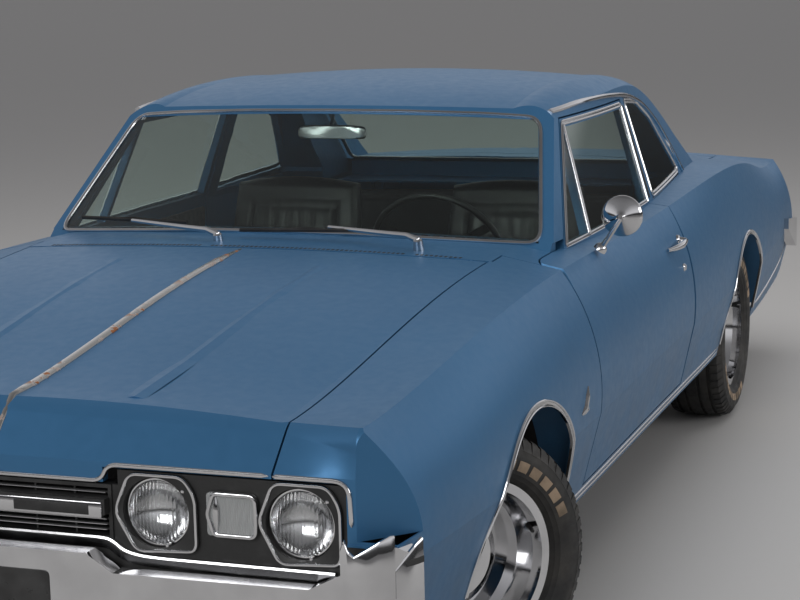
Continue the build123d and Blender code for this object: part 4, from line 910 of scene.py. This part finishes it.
def wallOut(radius):
    # how far out the tyre's wall stands at a radius
    for (a0, r0), (a1, r1) in zip(tyreProfile, tyreProfile[1:]):
        if r0 <= radius <= r1:
            return a0 + (a1 - a0) * (radius - r0) / (r1 - r0)
    return tyreSet["wallHalf"]


def arcBlock(bm, section, origin, axis, side, start, sweep, steps):
    # a section of (along, radius) carried a little way round the axle
    rings = []
    for k in range(steps + 1):
        turn = Quaternion(axis, start + sweep * k / steps)
        rings.append([origin + axis * a * mm + turn @ side * r * mm for a, r in section])
    loftRings(bm, rings)


def makeTyre(name, origin, axis):
    side = axis.cross(Vector((0, 0, 1))).normalized()
    body = name.replace("tyre", "wheel")
    bm = bmesh.new()
    profile = tyreProfile + [(-a, r) for a, r in reversed(tyreProfile[:-1])] + tyreSet["inside"]
    turnProfile(bm, profile, origin, axis, tyreSet["steps"], closed=True)
    pitch = 2 * pi / tyreSet["lugs"]
    for i in range(tyreSet["lugs"]):
        for edge, shift in ((-1, 0), (1, tyreSet["lugShift"] * pitch)):
            section = [(edge * a, r) for a, r in tyreSet["lug"]]
            arcBlock(bm, section, origin, axis, side, i * pitch + shift, pitch * tyreSet["lugShare"], 1)
    tread = finishPiece(name, bm, rubber, body, "tyre", angle=30)
    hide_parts(name)
    marks = bmesh.new()
    low, high = tyreSet["markLow"], tyreSet["markHigh"]
    radii = [low, (low * 2 + high) / 3, (low + high * 2) / 3, high]
    section = [(wallOut(r) + tyreSet["markRise"], r) for r in radii]
    section += [(wallOut(r) - tyreSet["markSink"], r) for r in reversed(radii)]
    for first, count in tyreSet["markGroups"]:
        for i in range(count):
            start = radians(first + i * (tyreSet["markAngle"] + tyreSet["markGap"]))
            arcBlock(marks, section, origin, axis, side, start, radians(tyreSet["markAngle"]), 3)
    finishPiece(name + "_marks", marks, tyreMark, body, "tyre", angle=30)


valve = dict(radius=180, out=70, length=34, turn=200, lean=(0.8, 0.35), radii=[7, 6.5, 5, 4.5], sunk=0.3)


def makeValve(name, origin, axis):
    # a black valve stem through the rim
    side = Quaternion(axis, radians(valve["turn"])) @ axis.cross(Vector((0, 0, 1))).normalized()
    foot = origin + (axis * valve["out"] + side * valve["radius"]) * mm
    tip = foot + (axis * valve["lean"][0] - side * valve["lean"][1]) * valve["length"] * mm
    bm = bmesh.new()
    tube(bm, [foot - (tip - foot) * valve["sunk"], foot, foot.lerp(tip, 0.5), tip], valve["radii"], 12)
    finishPiece(name, bm, blackRubber, name.replace("valve", "wheel"), "tyre")


def makeWheels():
    for end in ("front", "rear"):
        for hand, sign in (("left", 1), ("right", -1)):
            spin = "%s_wheel_%s_spin" % (end, hand)
            axis = (jointAxis[spin] if jointAxis[spin].x * sign > 0 else -jointAxis[spin]).normalized()
            makeTyre("tyre_%s_%s" % (end, hand), jointAt[spin], axis)
            makeValve("valve_%s_%s" % (end, hand), jointAt[spin], axis)


makeWheels()
print("wheels dressed")


# Seats: crowned pads with sewn pleats, and a seam round them. The cube's sitting side lies beyond the face
# level, its back beyond the same level below.
seam = dict(depth=1.2, half=0.04)
faceLevel = 0.99


def padMesh(bm, place, cuts, roundness, crown, pleats, pleatDepth, border):
    # place turns (u, v, w) from -1 to 1 into a point; w is the sitting side
    def rounded(a, b, c):
        return a * (1 - roundness * (b * b + c * c) / 2 + roundness * b * b * c * c / 3) ** 0.5

    made = bmesh.ops.create_cube(bm, size=2)
    edges = list({e for v in made["verts"] for e in v.link_edges})
    bmesh.ops.subdivide_edges(bm, edges=edges, cuts=cuts, use_grid_fill=True)
    for v in bm.verts:
        if v.tag:
            continue
        v.tag = True
        x, y, z = v.co
        u, w, t = rounded(x, y, z), rounded(y, x, z), rounded(z, x, y)
        if z > faceLevel:
            t += crown * (1 - x * x) * (1 - y * y)
            if abs(x) < border and abs(y) < border:
                wave = abs(sin(pi * pleats * (x / border + 1) / 2))
                t -= pleatDepth * (1 - wave) ** 3
            edge = max(abs(x), abs(y))
            t -= pleatDepth * seam["depth"] * max(0, 1 - abs(edge - border) / seam["half"])
        elif z < -faceLevel:
            t = z
        v.co = place(u, w, t)


# Each pad: half width, then stations and heights of the lower and upper edges in front and behind, then cuts,
# roundness, crown, pleats, their depth and how far out they reach
seatSet = dict(
    bucket_seats=dict(node="front_seats", centres=(-385, 385), pads=[
        (236, [(1138, 338), (1150, 478), (1636, 338), (1636, 466)], (34, 0.28, 0.22, 7, 0.16, 0.72)),
        (232, [(1738, 486), (1634, 486), (1838, 1008), (1758, 1012)], (34, 0.30, 0.20, 7, 0.16, 0.72))]),
    bench_seat=dict(node="rear_seat", centres=(0,), pads=[
        (592, [(2060, 330), (2052, 478), (2330, 420), (2420, 470)], (46, 0.22, 0.20, 18, 0.14, 0.86)),
        (608, [(2490, 500), (2452, 510), (2640, 872), (2576, 876)], (46, 0.22, 0.22, 18, 0.16, 0.86))]))


def slab(x0, half, corners):
    # corners are (back, face) at the near end, then (back, face) at the far end
    (s0, z0), (s1, z1), (s2, z2), (s3, z3) = corners

    def place(u, v, w):
        a, b = (v + 1) / 2, (w + 1) / 2
        s = (s0 * (1 - b) + s1 * b) * (1 - a) + (s2 * (1 - b) + s3 * b) * a
        z = (z0 * (1 - b) + z1 * b) * (1 - a) + (z2 * (1 - b) + z3 * b) * a
        return at(x0 + u * half, s, z)
    return place


def makeSeats():
    for name, seat in seatSet.items():
        bm = bmesh.new()
        for x in seat["centres"]:
            for half, corners, look in seat["pads"]:
                padMesh(bm, slab(x, half, corners), *look)
        piece = finishPiece(name, bm, vinyl, slot="seat_vinyl", angle=70)
        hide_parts(seat["node"])


doorCard = dict(card=((765, 774), (716, 1836), (392, 896), 4),
                armrest=((719, 767), (1080, 1500), (680, 716), 14, 4), pleats=26, pleatStart=746,
                pleatEnd=1806, pleatAcross=(761, 768), pleatHeight=(480, 650), pleatBevel=3, gap=2)


def makeDoorCards():
    start = doorCard["pleatStart"]
    pitch = (doorCard["pleatEnd"] - start) / doorCard["pleats"]
    for side, name in ((1, "left"), (-1, "right")):
        bm = bmesh.new()
        sideBox(bm, side, *doorCard["card"])
        sideBox(bm, side, *doorCard["armrest"])
        for i in range(doorCard["pleats"]):
            station = (start + i * pitch + doorCard["gap"], start + (i + 1) * pitch - doorCard["gap"])
            sideBox(bm, side, doorCard["pleatAcross"], station, doorCard["pleatHeight"],
                    doorCard["pleatBevel"])
        finishPiece("door_card_" + name, bm, vinyl, "door_" + name, "seat_vinyl", angle=50)


makeSeats()
makeDoorCards()
print("seats sewn")


# Tail: lamp frames, exhaust tips
tailTrim = dict(centre=560, halfWidth=206, low=636, high=744, station=4235, width=9, rise=6, corner=16,
                step=20, bars=(672, 706), barStation=(4221, 4237), barHalf=3, barInset=4, barBevel=1.5)
exhaustTip = dict(place=(620, 4120, 330),
                  profile=[(0, 28), (0, 31), (112, 32), (116, 30), (113, 28), (8, 26)])


def makeTail():
    bm = bmesh.new()
    behind = Vector((0, 1, 0))
    w, half, low, high = tailTrim["halfWidth"], tailTrim["barHalf"], tailTrim["low"], tailTrim["high"]
    barHalfWidth = w - tailTrim["barInset"]
    for side in (-1, 1):
        x = side * tailTrim["centre"]
        line = roundedLine([(x - w, low), (x + w, low), (x + w, high), (x - w, high)], tailTrim["corner"],
                           tailTrim["step"], closed=True)
        places = [at(p.x, tailTrim["station"], p.y) for p in line]
        strip(bm, places, [behind] * len(places), bead(tailTrim["width"], tailTrim["rise"]), closed=True)
        for z in tailTrim["bars"]:
            sideBox(bm, 1, (x - barHalfWidth, x + barHalfWidth), tailTrim["barStation"],
                    (z - half, z + half), tailTrim["barBevel"])
    finishPiece("tail_lamp_frames", bm, chrome)
    bm = bmesh.new()
    x, s, z = exhaustTip["place"]
    for side in (-1, 1):
        turnProfile(bm, exhaustTip["profile"], at(side * x, s, z), behind, 32, closed=True)
    finishPiece("exhaust_tips", bm, chrome, slot="exhaust_steel")


makeTail()
print("tail dressed")


# The bumper's raised ends wrap over the fender's corner. Rows: x, station, top and bottom height. The
# section is how far in, then the height against the top, or none for the bottom.
bumperEnd = dict(path=[(800, -890, 604, 540), (808, -890, 622, 540), (815, -889, 600, 540),
                       (828, -888, 589, 540), (850, -882, 602, 544), (874, -873, 617, 548),
                       (896, -862, 630, 552), (903, -856, 630, 552)],
                 wing=[(904, -856, 560, 500), (920, -840, 584, 500), (934, -816, 604, 500),
                       (941, -796, 612, 500)],
                 section=[(0, None), (0, -6), (0.25, -1), (0.75, 0), (1, -4), (1, None)], depth=9,
                 slot=[(1.2, 562), (1.2, 575), (-4, 575), (-4, 562)])


def makeBumperEnds():
    bm = bmesh.new()
    for side in (-1, 1):
        for path in (bumperEnd["path"], bumperEnd["wing"]):
            rings = []
            for i, (x, s, top, bottom) in enumerate(path):
                before, after = path[max(i - 1, 0)], path[min(i + 1, len(path) - 1)]
                run = Vector((after[0] - before[0], after[1] - before[1])).normalized()
                inward = Vector((-run.y, run.x)) * bumperEnd["depth"]
                rings.append([at(side * (x + inward.x * t), s + inward.y * t,
                                 bottom if rise is None else top + rise) for t, rise in bumperEnd["section"]])
            loftRings(bm, rings)
    finishPiece("bumper_ends", bm, chrome, angle=40)
    # black strips paint the shade inside the slots of the bumper's wings
    bm = bmesh.new()
    for side in (-1, 1):
        loftRings(bm, [[at(side * (x + out), s, z) for out, z in bumperEnd["slot"]]
                       for x, s, _, _ in bumperEnd["wing"][1:]])
    finishPiece("bumper_end_slot_shade", bm, blackPaintAndPaintedShade, slot="grille_black")


insideMirror = dict(centre=(4, 1126, 1222), half=108, height=24, depth=9, stemRadius=6, corner=14, step=12,
                    outline=[(-1, -0.7), (1, -0.7), (1, 0.8), (0.55, 1), (-0.55, 1), (-1, 0.8)],
                    stem=[(0, 1132, 1240), (0, 1146, 1262), (0, 1152, 1305)],
                    rings=[(0.86, -1), (0.97, -0.6), (1, 0), (1, 0.6), (0.96, 1), (0.9, 0.8)])


def makeInsideMirror():
    w, h = insideMirror["half"], insideMirror["height"]
    line = roundedLine([(u * w, v * h) for u, v in insideMirror["outline"]], insideMirror["corner"],
                       insideMirror["step"], closed=True)
    bm = bmesh.new()
    layers(bm, line, insideMirror["centre"], insideMirror["depth"], insideMirror["rings"])
    piece = finishPiece("cabin_mirror", bm, mirrorBack, angle=50)
    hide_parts("inside_mirror")
    bm = bmesh.new()
    tube(bm, [at(*p) for p in insideMirror["stem"]], insideMirror["stemRadius"], 12)
    finishPiece("cabin_mirror_stem", bm, brightTrim)


# Dash: two round dials, a radio and a bright line across, all on the face towards the seats. Each row of the
# pad's section is a station and a height, and how much of the end's rounding each takes.
dashSet = dict(dials=[(300, 786), (440, 786)], dialRadius=62, station=866, ticks=11, tickTurn=26,
               tickStart=-130, tickRadii=(0.72, 0.86), tickOut=2.2, tickRadius=1.2,
               dialRim=[(-8, 56), (4, 56), (7, 60), (6, 65), (-8, 68)],
               dialFace=[(-8, 0), (-8, 56), (1, 56), (2, 0)], radio=((-70, 70), (846, 872), (742, 800), 4),
               knobs=dict(x=92, z=768, profile=[(0, 0), (0, 12), (16, 10), (18, 0)]),
               glove=([(-640, 700), (-250, 700), (-250, 830), (-640, 830)], 12, 30), gloveSeam=(3, 0.8, 1),
               line=([(-720, 852), (720, 852)], 1, 60), lineBead=(10, 4),
               pad=((-742, -3), (-738, 0), (738, 0), (742, -3)),
               padSection=[(650, 922.4, 0, 0.3), (700, 924, 0, 1), (800, 924, 0, 1), (842, 914, 0, 1),
                           (866, 888, 0, 0), (868, 868, 1, 0), (856, 862, 0, 0), (846, 884, 0, 0),
                           (822, 900, 0, 0), (700, 915, 0, 0), (650, 915, 0, 0)])


def makeDash():
    behind = Vector((0, 1, 0))
    rims, faces = bmesh.new(), bmesh.new()
    r, station = dashSet["dialRadius"], dashSet["station"]
    for x, z in dashSet["dials"]:
        place = at(x, station, z)
        turnProfile(rims, dashSet["dialRim"], place, behind, 40, closed=True)
        turnProfile(faces, dashSet["dialFace"], place, behind, 32)
        for k in range(dashSet["ticks"]):
            turn = radians(dashSet["tickStart"] + dashSet["tickTurn"] * k)
            tube(rims, [place + Vector((sin(turn) * r * t, dashSet["tickOut"], cos(turn) * r * t)) * mm
                        for t in dashSet["tickRadii"]], dashSet["tickRadius"], 5)
    sideBox(faces, 1, *dashSet["radio"])
    knobs = dashSet["knobs"]
    for side in (-1, 1):
        turnProfile(rims, knobs["profile"], at(side * knobs["x"], station, knobs["z"]), behind, 18)
    dash = skinOf("dashboard")
    glove = roundedLine(*dashSet["glove"], closed=True)
    strip(faces, *placed(dash, glove, "cabin"), bead(*dashSet["gloveSeam"]), closed=True)
    strip(rims, *placed(dash, roundedLine(*dashSet["line"]), "cabin"), bead(*dashSet["lineBead"]))
    finishPiece("dash_dials", faces, blackPaintAndPaintedShade, slot="dash_blue")
    finishPiece("dash_bright_parts", rims, brightTrim)
    bm = bmesh.new()
    loftRings(bm, [[at(x, s + grow * a, z + grow * b) for s, z, a, b in dashSet["padSection"]]
                   for x, grow in dashSet["pad"]])
    finishPiece("dash_pad", bm, padVinyl, slot="dash_blue", angle=50)


makeBumperEnds()
makeInsideMirror()
makeDash()
print("bumper ends, cabin mirror and dash fitted")
